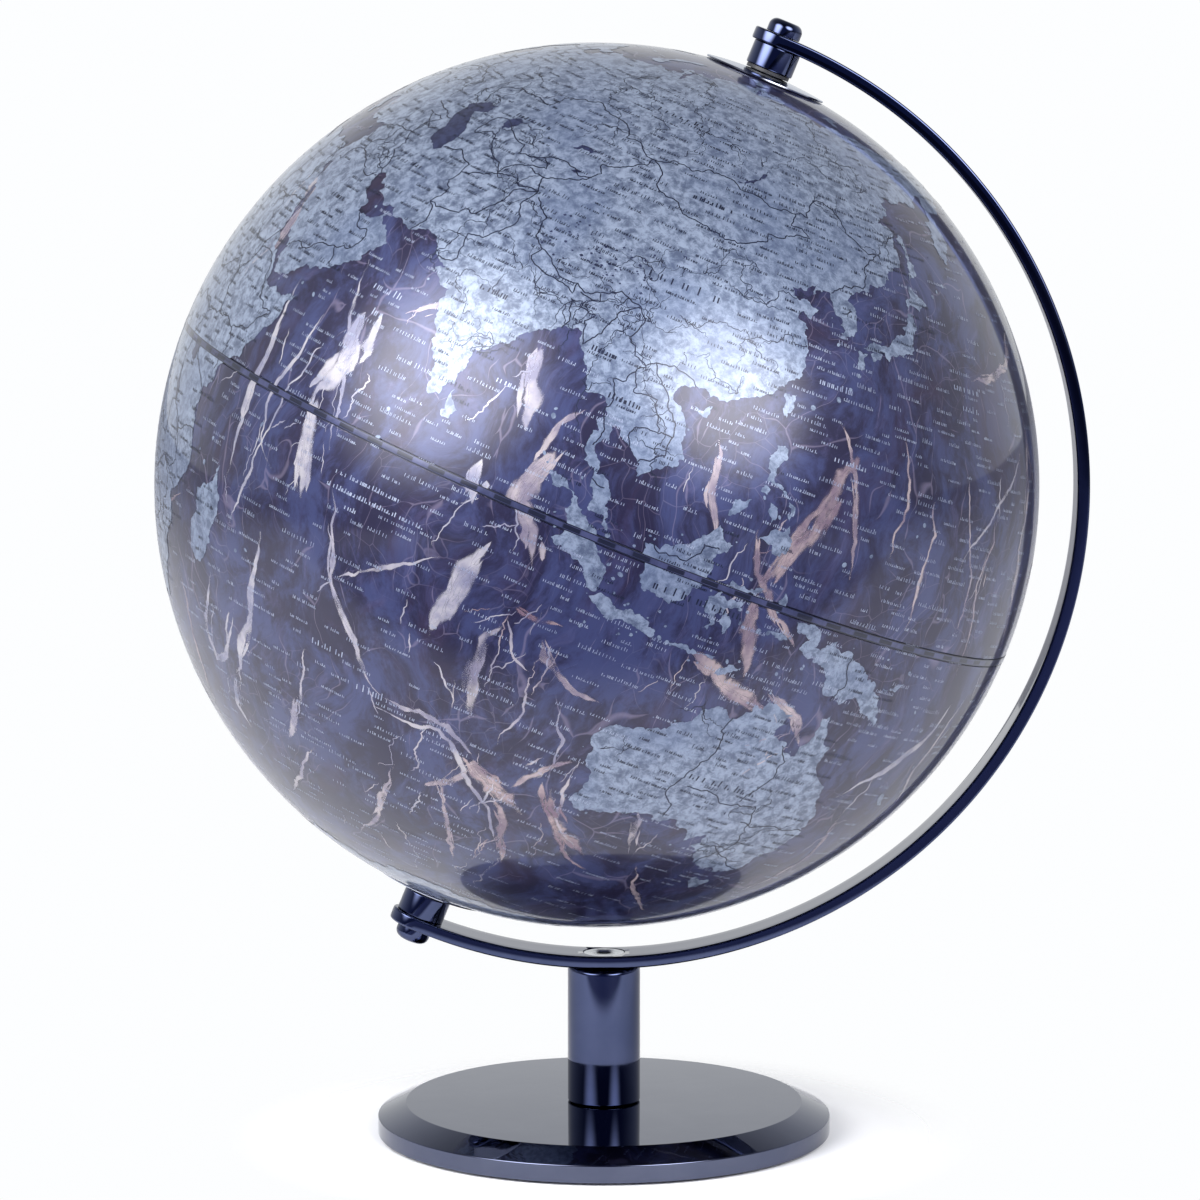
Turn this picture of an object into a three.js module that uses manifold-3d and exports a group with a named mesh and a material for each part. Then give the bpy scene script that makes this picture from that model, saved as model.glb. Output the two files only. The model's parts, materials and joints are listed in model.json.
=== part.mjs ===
// A desktop globe on a stand: a hollow two-shell ball that spins on a tilted steel rod.
// The rod is clamped between the two ends of a flat bar bent into a semicircle, and the bar
// stands on a short round post over a heavy bevelled disc.
// Millimetres, +Z up. The origin is on the table, under the middle of the post, and the bar's
// plane is XZ, with the north end of the axis leaning towards +X.
import * as THREE from "three";
import { mergeVertices } from "three/addons/utils/BufferGeometryUtils.js";
import Module from "manifold-3d";

const wasm = await Module();
wasm.setup();

// ---- driving dimensions ----
const seatGap = 0.3; // left between two pieces that rest on each other
const runGap = 0.3; // radial room of a hole round its rod or screw

const axisTiltDeg = 22.3; // lean of the spin axis from the vertical
const globeRadius = 125; // outside of the ball
const shellWall = 2; // thickness of each half shell

const tapeGrooveHeight = 2.6; // groove round the equator, across both shells
const tapeGrooveDepth = 0.7;
const tapeThickness = 0.45; // printed tape that closes the seam

const joiningRingHeight = 16; // band glued inside the seam
const joiningRingWall = 2;

const polarCapRadius = 17.6; // rim of the thin dished cap on each pole
const polarCapThickness = 0.5;

const rodRadius = 2.5; // steel axle through the ball
const bushBarrelRadius = 5; // nylon bush in each pole of the shells
const bushBarrelLength = 11;
const bushFlangeRadius = 10;
const bushFlangeThickness = 2.4;

const thrustWasherRadius = 6.3; // nylon washer between ball and collar
const thrustWasherThickness = 0.8;
const collarRadius = 6.8; // turned spacer under each end of the bar
const collarEdge = 0.4; // chamfer on the collar's ends
const collarHeight = 6.2;

const armWidth = 15; // flat bar, measured along Y
const armThickness = 3.5;
const armEdge = 0.7; // chamfer along the bar's four long edges
const armEndRun = 2.15; // straight run from the axis to the start of the arc
const armEndOverhang = 7.9; // from the axis to the rounded end of the bar
const armEndFlat = 0.2; // the ends are a hair flatter than a full round

const nutRadius = 4.9; // domed cap nut on each end of the rod
const nutSkirt = 1.1; // straight part of the nut
const nutDome = 2.8; // height of its dome
const nutCrownRadius = 2; // flat on top of the dome
const nutCrownWall = 0.9; // metal left over the rod's end

const postRadius = 10.4;
const postHeight = 39.6;
const postEdge = 0.5;

const baseRadius = 65;
const baseRimHeight = 5; // straight rim under the bevel
const baseBevelRun = 8.1; // width of the bevel, seen from above
const baseBevelRise = 3.7;
const baseLift = 0.8; // the pad holds the disc this far off the table
const padThickness = 1.6;
const padMargin = 4; // rim of bare metal left round the pad

const screwRadius = 3; // M6 screws above and below the post
const armScrewHeadRadius = 6;
const armScrewHeadRim = 0.4; // straight edge of the countersunk head
const armScrewLength = 20;
const armScrewSocketRadius = 2.3; // across the corners of the hex socket
const armScrewSocketDepth = 2;
const baseScrewLength = 16; // under the head
const baseScrewHeadRadius = 5.2;
const baseScrewHeadHeight = 3;
const baseScrewSocketRadius = 2.6;
const baseScrewSocketDepth = 1.8;
const baseWasherRadius = 8;
const baseWasherThickness = 1.2;
const tappedHoleSpare = 2; // a blind hole is this much deeper than its screw

// ---- how finely round shapes are cut into flat facets ----
const ballSegments = 40;
const roundSegments = 28;
const smallSegments = 16;
const hexSides = 6;
const saddleSegments = 288;
const arcSteps = 64; // along the bar
const barEndSteps = 10; // round each corner of the bar's ends
const shellOutsideSteps = 12; // from seam to pole
const shellInsideSteps = 8;
const polarCapSteps = 4;
const domeSteps = 5;

const cutPast = 1; // a hole's cutter runs on this far past the face it opens
const weldTolerance = 1e-4; // vertices nearer than this are one
const sliverArea = 1e-9; // square millimetres

// ---- where things sit ----
const axisTilt = THREE.MathUtils.degToRad(axisTiltDeg);
const polarCapInside = globeRadius + seatGap;
const polarCapOutside = polarCapInside + polarCapThickness;
const washerStart = polarCapOutside + seatGap; // heights along the axis, from the ball's middle
const collarStart = washerStart + thrustWasherThickness + seatGap;
const armInnerRadius = collarStart + collarHeight + seatGap;
const armOuterRadius = armInnerRadius + armThickness;
const nutStart = armOuterRadius + seatGap;
const nutTop = nutStart + nutSkirt + nutDome;
const rodEnd = nutTop - nutCrownWall - seatGap;

// The shells' flat facets come this much nearer to their middle than the true round.
const shellClearRadius = (globeRadius - shellWall) * Math.cos(Math.PI / 4 / shellInsideSteps);
const ballFacet = Math.cos(Math.PI / ballSegments);

const padTop = padThickness;
const baseTop = baseLift + baseRimHeight + baseBevelRise;
const postBottom = baseTop + seatGap;
const postTop = postBottom + postHeight;
const postSag = armOuterRadius - Math.sqrt(armOuterRadius ** 2 - postRadius ** 2);
const arcCentreHeight = postTop + seatGap + armOuterRadius - postSag;
const ballCentre = new THREE.Vector3(
  -armEndRun * Math.cos(axisTilt),
  0,
  arcCentreHeight + armEndRun * Math.sin(axisTilt),
);
const armScrewTop = arcCentreHeight - armInnerRadius - seatGap;
const armScrewBottom = armScrewTop - armScrewLength;
const baseHeadBottom = padTop + seatGap;
const baseHeadTop = baseHeadBottom + baseScrewHeadHeight;
const baseScrewTop = baseHeadTop + baseScrewLength;
const baseWasherBottom = baseHeadTop + seatGap;
const baseWasherTop = baseWasherBottom + baseWasherThickness;

// ---- making solids ----
function toSolid(geometry) {
  const bare = geometry.index ? geometry.toNonIndexed() : geometry.clone();
  bare.deleteAttribute("normal");
  bare.deleteAttribute("uv");
  const merged = mergeVertices(bare, weldTolerance);
  return new wasm.Manifold(
    new wasm.Mesh({
      numProp: 3,
      vertProperties: new Float32Array(merged.attributes.position.array),
      triVerts: new Uint32Array(merged.index.array),
    }),
  );
}

function toGeometry(solid) {
  const mesh = solid.getMesh();
  const geometry = new THREE.BufferGeometry();
  geometry.setAttribute("position", new THREE.BufferAttribute(mesh.vertProperties, 3));
  geometry.setIndex(new THREE.BufferAttribute(mesh.triVerts, 1));
  return geometry;
}

// Takes every tool's volume away from the body.
function cut(body, ...tools) {
  return toGeometry(tools.reduce((left, tool) => left.subtract(toSolid(tool)), toSolid(body)));
}

// Turns a closed outline of [radius, height] pairs about +Z.
function turned(outline, segments = roundSegments) {
  const points = outline.map(([radius, height]) => new THREE.Vector2(radius, height));
  const bare = toNonDegenerate(new THREE.LatheGeometry(points, segments));
  return bare.rotateX(Math.PI / 2);
}

// Drops the flat triangles that a lathe leaves where its outline touches the axis.
function toNonDegenerate(geometry) {
  const flat = geometry.toNonIndexed();
  flat.deleteAttribute("normal");
  flat.deleteAttribute("uv");
  const position = flat.attributes.position;
  const kept = [];
  const corner = [new THREE.Vector3(), new THREE.Vector3(), new THREE.Vector3()];
  const triangle = new THREE.Triangle();
  for (let i = 0; i < position.count; i += 3) {
    corner.forEach((point, k) => point.fromBufferAttribute(position, i + k));
    triangle.set(...corner);
    if (triangle.getArea() > sliverArea) {
      corner.forEach((point) => kept.push(point.x, point.y, point.z));
    }
  }
  const solid = new THREE.BufferGeometry();
  solid.setAttribute("position", new THREE.Float32BufferAttribute(kept, 3));
  return solid;
}

// Points on an arc round the origin, from one angle to another, as [radius, height] pairs.
function arcPoints(radius, fromAngle, toAngle, steps) {
  const points = [];
  for (let i = 0; i <= steps; i += 1) {
    const angle = fromAngle + ((toAngle - fromAngle) * i) / steps;
    points.push([radius * Math.cos(angle), radius * Math.sin(angle)]);
  }
  return points;
}

// The space of a plain or hexagonal hole along Z.
function bore(radius, fromHeight, toHeight, segments = smallSegments) {
  const geometry = new THREE.CylinderGeometry(radius, radius, toHeight - fromHeight, segments);
  return geometry.rotateX(Math.PI / 2).translate(0, 0, (fromHeight + toHeight) / 2);
}

// A round piece with a hole through it, as a washer, a band or a ring.
function ring(holeRadius, radius, bottom, top, segments = smallSegments) {
  const start = [holeRadius, bottom];
  return turned([start, [radius, bottom], [radius, top], [holeRadius, top], start], segments);
}

// ---- finishes ----
const darkChrome = new THREE.MeshStandardMaterial({ color: 0x23294a, roughness: 0.08, metalness: 1 });
const mapPrint = new THREE.MeshStandardMaterial({ color: 0x4e5377, roughness: 0.3, metalness: 0.3 });
const capMetal = new THREE.MeshStandardMaterial({ color: 0x8f96a6, roughness: 0.2, metalness: 1 });
const tapePrint = new THREE.MeshStandardMaterial({ color: 0x2a3050, roughness: 0.4, metalness: 0 });
const brightSteel = new THREE.MeshStandardMaterial({ color: 0xb4b8c0, roughness: 0.25, metalness: 1 });
const nylon = new THREE.MeshStandardMaterial({ color: 0x26272c, roughness: 0.5, metalness: 0 });
const cardboard = new THREE.MeshStandardMaterial({ color: 0x9a8468, roughness: 0.9, metalness: 0 });
const felt = new THREE.MeshStandardMaterial({ color: 0x17181c, roughness: 1, metalness: 0 });

function piece(name, geometry, material) {
  const mesh = new THREE.Mesh(geometry, material);
  mesh.name = name;
  return mesh;
}

// ---- the stand: pieces that sit about the upright centre line ----
function basePad() {
  const radius = baseRadius - padMargin;
  return turned([[0, 0], [radius, 0], [radius, padTop], [0, padTop]], ballSegments);
}

function basePlate() {
  const recessRadius = baseRadius - padMargin + seatGap;
  const recessTop = padTop + seatGap;
  const disc = turned(
    [
      [0, recessTop],
      [recessRadius, recessTop],
      [recessRadius, baseLift],
      [baseRadius, baseLift],
      [baseRadius, baseLift + baseRimHeight],
      [baseRadius - baseBevelRun, baseTop],
      [0, baseTop],
    ],
    ballSegments,
  );
  const washerRoom = bore(baseWasherRadius + runGap, 0, baseWasherTop + seatGap);
  const screwHole = bore(screwRadius + runGap, 0, baseTop + cutPast);
  return cut(disc, washerRoom, screwHole);
}

function baseWasher() {
  return ring(screwRadius + runGap, baseWasherRadius, baseWasherBottom, baseWasherTop);
}

function baseScrew() {
  const body = turned(
    [
      [0, baseHeadBottom],
      [baseScrewHeadRadius, baseHeadBottom],
      [baseScrewHeadRadius, baseHeadTop],
      [screwRadius, baseHeadTop],
      [screwRadius, baseScrewTop],
      [0, baseScrewTop],
    ],
    smallSegments,
  );
  const socketTop = baseHeadBottom + baseScrewSocketDepth;
  return cut(body, bore(baseScrewSocketRadius, baseHeadBottom - cutPast, socketTop, hexSides));
}

function post() {
  const body = turned([
    [0, postBottom],
    [postRadius - postEdge, postBottom],
    [postRadius, postBottom + postEdge],
    [postRadius, postTop - postEdge],
    [postRadius - postEdge, postTop],
    [0, postTop],
  ]);
  const hole = screwRadius + runGap;
  const lowerHole = bore(hole, postBottom - cutPast, baseScrewTop + tappedHoleSpare);
  const upperHole = bore(hole, armScrewBottom - tappedHoleSpare, postTop + cutPast);
  const sink = screwSink().translate(0, 0, arcCentreHeight);
  return cut(body, lowerHole, saddle(), upperHole, sink);
}

// The round of the bar's outer face, grown by the gap, which seats the bar on the post.
function saddle() {
  const radius = armOuterRadius + seatGap;
  const length = 2 * (postRadius + cutPast);
  const drum = new THREE.CylinderGeometry(radius, radius, length, saddleSegments);
  return drum.translate(0, 0, arcCentreHeight);
}

function armScrew() {
  const coneBottom = armScrewTop - armScrewHeadRim - (armScrewHeadRadius - screwRadius);
  const body = turned(
    [
      [0, armScrewBottom],
      [screwRadius, armScrewBottom],
      [screwRadius, coneBottom],
      [armScrewHeadRadius, armScrewTop - armScrewHeadRim],
      [armScrewHeadRadius, armScrewTop],
      [0, armScrewTop],
    ],
    smallSegments,
  );
  const socketBottom = armScrewTop - armScrewSocketDepth;
  return cut(body, bore(armScrewSocketRadius, socketBottom, armScrewTop + cutPast, hexSides));
}

// ---- the bar: a chamfered rectangle swept along two straight ends and a half circle ----
function barProfile() {
  const halfWidth = armWidth / 2;
  const inner = armInnerRadius;
  const outer = armOuterRadius;
  return [
    [-halfWidth, inner + armEdge],
    [-halfWidth + armEdge, inner],
    [halfWidth - armEdge, inner],
    [halfWidth, inner + armEdge],
    [halfWidth, outer - armEdge],
    [halfWidth - armEdge, outer],
    [-halfWidth + armEdge, outer],
    [-halfWidth, outer - armEdge],
  ];
}

// Built with the arc's centre at the origin and the axis upright; the bar bulges towards +X.
function barGeometry() {
  const end = -armEndRun - armEndOverhang;
  const stations = [{ angle: 0, shift: end }];
  for (let i = 0; i <= arcSteps; i += 1) {
    stations.push({ angle: (Math.PI * i) / arcSteps, shift: 0 });
  }
  stations.push({ angle: Math.PI, shift: end });
  const profile = barProfile();
  const corners = profile.length;
  const vertices = [];
  stations.forEach(({ angle, shift }) => {
    profile.forEach(([across, reach]) => {
      vertices.push(shift + reach * Math.sin(angle), across, reach * Math.cos(angle));
    });
  });
  const faces = [];
  for (let s = 0; s + 1 < stations.length; s += 1) {
    for (let k = 0; k < corners; k += 1) {
      const a = s * corners + k;
      const b = s * corners + ((k + 1) % corners);
      faces.push(a, b, a + corners, b, b + corners, a + corners);
    }
  }
  const last = (stations.length - 1) * corners;
  for (let k = 1; k + 1 < corners; k += 1) {
    faces.push(0, k + 1, k, last, last + k, last + k + 1);
  }
  const geometry = new THREE.BufferGeometry();
  geometry.setAttribute("position", new THREE.Float32BufferAttribute(vertices, 3));
  geometry.setIndex(faces);
  return geometry;
}

// What is cut away to round the two ends of the bar, as seen along the axis.
function endTrim() {
  const halfWidth = armWidth / 2;
  const corner = Math.min(armEndOverhang, halfWidth) - armEndFlat;
  const end = -armEndRun - armEndOverhang;
  const shape = new THREE.Shape();
  shape.moveTo(end - cutPast, -halfWidth - cutPast);
  shape.lineTo(end + corner, -halfWidth - cutPast);
  shape.lineTo(end + corner, -halfWidth);
  shape.absarc(end + corner, -halfWidth + corner, corner, -Math.PI / 2, -Math.PI, true);
  shape.lineTo(end, halfWidth - corner);
  shape.absarc(end + corner, halfWidth - corner, corner, Math.PI, Math.PI / 2, true);
  shape.lineTo(end + corner, halfWidth + cutPast);
  shape.lineTo(end - cutPast, halfWidth + cutPast);
  shape.closePath();
  const depth = 2 * (armOuterRadius + cutPast);
  const settings = { depth, bevelEnabled: false, curveSegments: barEndSteps };
  const trim = new THREE.ExtrudeGeometry(shape, settings);
  return trim.translate(0, 0, -depth / 2);
}

function meridianArm() {
  const rodHole = bore(rodRadius + runGap, -nutTop, nutTop).translate(-armEndRun, 0, 0);
  const tilted = cut(barGeometry(), endTrim(), rodHole).rotateY(axisTilt);
  return cut(tilted, screwSink());
}

// The countersunk hole of the screw that holds the bar on its post.
function screwSink() {
  const sinkRadius = armScrewHeadRadius + runGap;
  const holeRadius = screwRadius + runGap;
  const rimBottom = -armInnerRadius - seatGap - armScrewHeadRim;
  return turned(
    [
      [0, -armOuterRadius - cutPast],
      [holeRadius, -armOuterRadius - cutPast],
      [holeRadius, rimBottom - (sinkRadius - holeRadius)],
      [sinkRadius, rimBottom],
      [sinkRadius, -armInnerRadius + cutPast],
      [0, -armInnerRadius + cutPast],
    ],
    smallSegments,
  );
}

// ---- pieces on the axis: +Z runs from the ball's middle to the north pole ----
function axleRod() {
  return turned([[0, -rodEnd], [rodRadius, -rodEnd], [rodRadius, rodEnd], [0, rodEnd]], smallSegments);
}

function capNut() {
  const skirtTop = nutStart + nutSkirt;
  const dome = [];
  for (let i = 1; i <= domeSteps; i += 1) {
    const angle = (Math.PI / 2) * (i / domeSteps);
    const radius = nutCrownRadius + (nutRadius - nutCrownRadius) * Math.cos(angle);
    dome.push([radius, skirtTop + nutDome * Math.sin(angle)]);
  }
  const hole = rodRadius + runGap;
  const holeTop = nutTop - nutCrownWall;
  const skirt = [[nutRadius, nutStart], [nutRadius, skirtTop]];
  return turned([[0, holeTop], [hole, holeTop], [hole, nutStart], ...skirt, ...dome, [0, nutTop]]);
}

function collar() {
  const hole = rodRadius + runGap;
  const top = collarStart + collarHeight;
  return turned([
    [hole, collarStart],
    [collarRadius - collarEdge, collarStart],
    [collarRadius, collarStart + collarEdge],
    [collarRadius, top - collarEdge],
    [collarRadius - collarEdge, top],
    [hole, top],
    [hole, collarStart],
  ]);
}

function thrustWasher() {
  const top = washerStart + thrustWasherThickness;
  return ring(rodRadius + runGap, thrustWasherRadius, washerStart, top);
}

function bush() {
  const hole = rodRadius + runGap;
  const flangeTop = Math.sqrt(shellClearRadius ** 2 - bushFlangeRadius ** 2) - seatGap;
  const flangeBottom = flangeTop - bushFlangeThickness;
  const top = polarCapOutside;
  const bottom = top - bushBarrelLength;
  return turned(
    [
      [hole, bottom],
      [bushBarrelRadius, bottom],
      [bushBarrelRadius, flangeBottom],
      [bushFlangeRadius, flangeBottom],
      [bushFlangeRadius, flangeTop],
      [bushBarrelRadius, flangeTop],
      [bushBarrelRadius, top],
      [hole, top],
      [hole, bottom],
    ],
    smallSegments,
  );
}

function polarCap() {
  const hole = bushBarrelRadius + runGap;
  const outerRim = Math.acos(polarCapRadius / polarCapOutside);
  const outerHole = Math.acos(hole / polarCapOutside);
  const innerHole = Math.acos(hole / polarCapInside);
  const innerRim = Math.acos(polarCapRadius / polarCapInside);
  const outer = arcPoints(polarCapOutside, outerRim, outerHole, polarCapSteps);
  const inner = arcPoints(polarCapInside, innerHole, innerRim, polarCapSteps);
  return turned([...outer, ...inner, outer[0]]);
}

// The northern half of the ball, from the tape's groove to the hole for the bush.
function halfShell() {
  const inside = globeRadius - shellWall;
  const grooveRadius = globeRadius - tapeGrooveDepth;
  const grooveTop = tapeGrooveHeight / 2;
  const hole = bushBarrelRadius + runGap;
  const seam = seatGap / 2;
  const fromGroove = Math.asin(grooveTop / globeRadius);
  const toHole = Math.acos(hole / globeRadius);
  const outer = arcPoints(globeRadius, fromGroove, toHole, shellOutsideSteps);
  const backFrom = Math.acos(hole / inside);
  const inner = arcPoints(inside, backFrom, Math.asin(seam / inside), shellInsideSteps);
  return turned(
    [[grooveRadius, seam], [grooveRadius, grooveTop], ...outer, ...inner, [grooveRadius, seam]],
    ballSegments,
  );
}

function equatorTape() {
  const inside = globeRadius - tapeGrooveDepth + seatGap;
  const outside = inside + tapeThickness;
  const half = tapeGrooveHeight / 2 - seatGap;
  return ring(inside, outside, -half, half, ballSegments);
}

function joiningRing() {
  const half = joiningRingHeight / 2;
  const outside = Math.sqrt(shellClearRadius ** 2 - half ** 2) * ballFacet - seatGap;
  return ring(outside - joiningRingWall, outside, -half, half, ballSegments);
}

// ---- assembly ----
const globeOnStand = new THREE.Group();

globeOnStand.add(
  piece("base_pad", basePad(), felt),
  piece("base_plate", basePlate(), darkChrome),
  piece("base_washer", baseWasher(), brightSteel),
  piece("base_screw", baseScrew(), brightSteel),
  piece("post", post(), darkChrome),
);

// The screw and the bar are made about the arc's centre line, upright over the post.
const overPost = new THREE.Group();
overPost.position.set(0, 0, arcCentreHeight);
overPost.add(piece("meridian_arm", meridianArm(), darkChrome));
globeOnStand.add(piece("arm_screw", armScrew(), brightSteel), overPost);

// The north half of the axis group, and the same pieces turned over for the south.
const onAxis = new THREE.Group();
onAxis.position.copy(ballCentre);
onAxis.rotation.y = axisTilt;
onAxis.add(
  piece("axle_rod", axleRod(), brightSteel),
  piece("equator_tape", equatorTape(), tapePrint),
  piece("joining_ring", joiningRing(), cardboard),
);
for (const [pole, turn] of [["north", 0], ["south", Math.PI]]) {
  const half = new THREE.Group();
  half.rotation.x = turn;
  half.add(
    piece(pole + "_shell", halfShell(), mapPrint),
    piece(pole + "_polar_cap", polarCap(), capMetal),
    piece(pole + "_bush", bush(), nylon),
    piece(pole + "_thrust_washer", thrustWasher(), nylon),
    piece(pole + "_collar", collar(), darkChrome),
    piece(pole + "_cap_nut", capNut(), darkChrome),
  );
  onAxis.add(half);
}
globeOnStand.add(onAxis);

export default globeOnStand;
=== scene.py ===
# %% [markdown]
# # A desktop globe on its stand
# This notebook dresses a finished engineering model of a desktop globe. The engineering model
# (the frame) already fixes where every piece sits and how big it is, so each cell below only
# makes finer skins round it, and mixes the finishes: dark plated metal for the stand, and a
# lacquered print of silver land on marbled seas for the ball.

# %% Load the frame
import json
import math
import random

import bmesh
import bpy
import numpy as np
from mathutils import Matrix, Vector, geometry, noise


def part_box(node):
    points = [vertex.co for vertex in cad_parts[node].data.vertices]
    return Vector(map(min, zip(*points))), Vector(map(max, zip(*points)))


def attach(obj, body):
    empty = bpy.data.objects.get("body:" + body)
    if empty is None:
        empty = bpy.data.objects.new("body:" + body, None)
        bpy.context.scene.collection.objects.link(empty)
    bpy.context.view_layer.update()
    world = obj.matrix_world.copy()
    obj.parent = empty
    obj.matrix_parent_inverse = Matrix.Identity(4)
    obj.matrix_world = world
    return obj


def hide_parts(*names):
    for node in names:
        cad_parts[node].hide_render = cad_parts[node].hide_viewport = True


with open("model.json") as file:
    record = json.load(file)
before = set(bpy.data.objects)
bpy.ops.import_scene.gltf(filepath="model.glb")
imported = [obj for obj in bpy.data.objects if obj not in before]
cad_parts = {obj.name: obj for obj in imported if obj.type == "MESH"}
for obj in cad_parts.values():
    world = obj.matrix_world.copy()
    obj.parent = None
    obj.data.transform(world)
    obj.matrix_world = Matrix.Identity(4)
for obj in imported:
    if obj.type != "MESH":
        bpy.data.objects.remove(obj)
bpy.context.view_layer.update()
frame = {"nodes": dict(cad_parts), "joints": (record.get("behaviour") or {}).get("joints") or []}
MM = 0.001
print("pieces in the frame:", len(frame["nodes"]))

# %% [markdown]
# ## Measure the frame
# The ball spins on a leaning rod. Everything on that rod is easiest to make upright, round a
# plain Z axis, and to lean over at the end. So the first values are the lean and the ball's
# middle, read from the joint, and a matrix that carries an upright piece to its real place.
# `on_axis` reads a piece's size in that upright space: how far out it reaches, and from where
# to where along the rod.

# %% Axis, ball and bar sizes
spin = frame["joints"][0]
ball_centre = Vector(spin["pos_m"])
spin_axis = Vector(spin["axis"])
lean = math.atan2(spin_axis.x, spin_axis.z)
lean_over = Matrix.Translation(ball_centre) @ Matrix.Rotation(lean, 4, "Y")


def node_points(node, into_space):
    """The corners of a frame piece, as rows of x, y, z in another space."""
    points = np.array([v.co for v in frame["nodes"][node].data.vertices])
    turn = np.array(into_space.to_3x3())
    return points @ turn.T + np.array(into_space.translation)


def on_axis(node, beyond=0.0):
    """How far a piece on the rod reaches out, and the lowest and highest distance of its
    points from the ball's middle along the rod. Points nearer to the rod than `beyond` don't
    count."""
    points = node_points(node, lean_over.inverted())
    reach = np.hypot(points[:, 0], points[:, 1])
    heights = np.abs(points[reach > beyond, 2])
    return reach.max(), heights.min(), heights.max()


ball_radius = on_axis("north_shell")[0]
arc_offset = -ball_centre.x / math.cos(lean)
arc_centre = Vector((0, 0, ball_centre.z - arc_offset * math.sin(lean)))
lean_bar = Matrix.Translation(arc_centre) @ Matrix.Rotation(lean, 4, "Y")
bar_points = node_points("meridian_arm", lean_bar.inverted())
on_the_arc = bar_points[bar_points[:, 0] > 0.02]
bar_reach = np.hypot(on_the_arc[:, 0], on_the_arc[:, 2])
bar_inner, bar_outer = bar_reach.min(), bar_reach.max()
bar_half_width = bar_points[:, 1].max()
bar_end = -bar_points[:, 0].min()
print(f"ball {2 * ball_radius / MM:.1f} mm, lean {math.degrees(lean):.1f} degrees")
print(f"bar {2 * bar_half_width / MM:.1f} x {(bar_outer - bar_inner) / MM:.2f} mm")

# %% [markdown]
# ## Camera first
# The camera stands about a metre and a half in front, a hand's breadth above the ball's
# middle, and looks down a little. A long lens keeps the ball round. It is set before anything
# is made, so every test render is framed alike.

# %% Camera
CAMERA_BACK = 1.4954
CAMERA_UP = 0.167
AIM_RIGHT = 0.00086
AIM_DOWN = 0.03264
LENS_MM = 159.2

camera = bpy.data.objects.new("camera", bpy.data.cameras.new("camera"))
bpy.context.scene.collection.objects.link(camera)
bpy.context.scene.camera = camera
camera.data.lens = LENS_MM
camera.data.sensor_width = 36
middle_line = Vector((ball_centre.x, 0, ball_centre.z))
camera.location = middle_line + Vector((0, -CAMERA_BACK, CAMERA_UP))
aim_at = middle_line + Vector((AIM_RIGHT, 0, -AIM_DOWN))
camera.rotation_euler = (aim_at - camera.location).to_track_quat("-Z", "Y").to_euler()
print("camera at", [round(v, 3) for v in camera.location])

# %% [markdown]
# ## A plain studio
# Glossy metal shows its room more than its own colour, so the room matters. It is a product
# table in a white room, and the side behind the camera is left a dark blue grey, which gives
# the plating its near-black faces. Two large soft lamps stand left and right of the camera.
# The camera itself sees plain white on every side.
#
# Every finish is built from shader nodes. `add_node` adds one and fills its inputs, and the
# short helpers after it are the steps that come up again and again: arithmetic, a mix of two
# colours, a range mapped to another, and plain noise.

# %% Node helpers


def add_node(tree, kind, inputs=None, **settings):
    """Adds a node, sets its options, and sets or links its inputs by name or number."""
    made = tree.nodes.new(kind)
    for key, value in settings.items():
        setattr(made, key, value)
    for key, value in (inputs or {}).items():
        if isinstance(value, bpy.types.NodeSocket):
            tree.links.new(value, made.inputs[key])
        else:
            made.inputs[key].default_value = value
    return made


def math_node(tree, operation, first, second=0.0, third=0.0, clamp=False):
    """One arithmetic step; returns its result socket."""
    values = {0: first, 1: second}
    if operation in ("MULTIPLY_ADD", "SMOOTH_MIN", "WRAP", "COMPARE"):
        values[2] = third
    return add_node(tree, "ShaderNodeMath", values, operation=operation, use_clamp=clamp).outputs[0]


def blend(tree, amount, first, second):
    """Mixes two colours by an amount; returns the colour socket."""
    made = add_node(tree, "ShaderNodeMix", {0: amount, 6: first, 7: second}, data_type="RGBA")
    return made.outputs[2]


def ramp(tree, value, low, high, to_low=0.0, to_high=1.0, smooth=True):
    """Maps a value from one range to another, held at both ends."""
    kind = "SMOOTHSTEP" if smooth else "LINEAR"
    made = add_node(tree, "ShaderNodeMapRange", {
        "Value": value, "From Min": low, "From Max": high, "To Min": to_low, "To Max": to_high,
    }, interpolation_type=kind)
    return made.outputs["Result"]


def speckle(tree, place, scale, detail=2.0, rough=0.5, warp=0.0):
    """Plain noise; returns its value socket."""
    made = add_node(tree, "ShaderNodeTexNoise", {
        "Vector": place, "Scale": scale, "Detail": detail, "Roughness": rough, "Distortion": warp,
    })
    return made.outputs["Fac"]


# %% [markdown]
# ## The room's light
# The world is a smooth mix of two colours, dark on the camera's side and pale behind the globe.
# Its ceiling is dimmer, so that polished tops don't burn out. The light path node lets the
# camera see white while the metal still mirrors the mix.

# %% World
world = bpy.data.worlds.new("white_room")
bpy.context.scene.world = world
world.use_nodes = True
bpy.context.scene.view_settings.view_transform = "Standard"
ROOM_BEHIND = (0.88, 0.9, 0.92, 1)
ROOM_CAMERA_SIDE = (0.07, 0.09, 0.22, 1)
ROOM_SEEN = (0.98, 0.99, 1.0, 1)
ROOM_CEILING = 0.34
room = world.node_tree
room.nodes.clear()
direction = add_node(room, "ShaderNodeTexCoord")
parts = add_node(room, "ShaderNodeSeparateXYZ", {0: direction.outputs["Generated"]})
walls = blend(room, ramp(room, parts.outputs["Y"], -0.7, 0.75), ROOM_CAMERA_SIDE, ROOM_BEHIND)
ceiling = ramp(room, parts.outputs["Z"], 0.3, 0.85, 1.0, ROOM_CEILING)
looked_at = add_node(room, "ShaderNodeLightPath").outputs["Is Camera Ray"]
shown_colour = blend(room, looked_at, walls, ROOM_SEEN)
shown_strength = add_node(room, "ShaderNodeMix", {0: looked_at, 2: ceiling, 3: 1.0})
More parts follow.
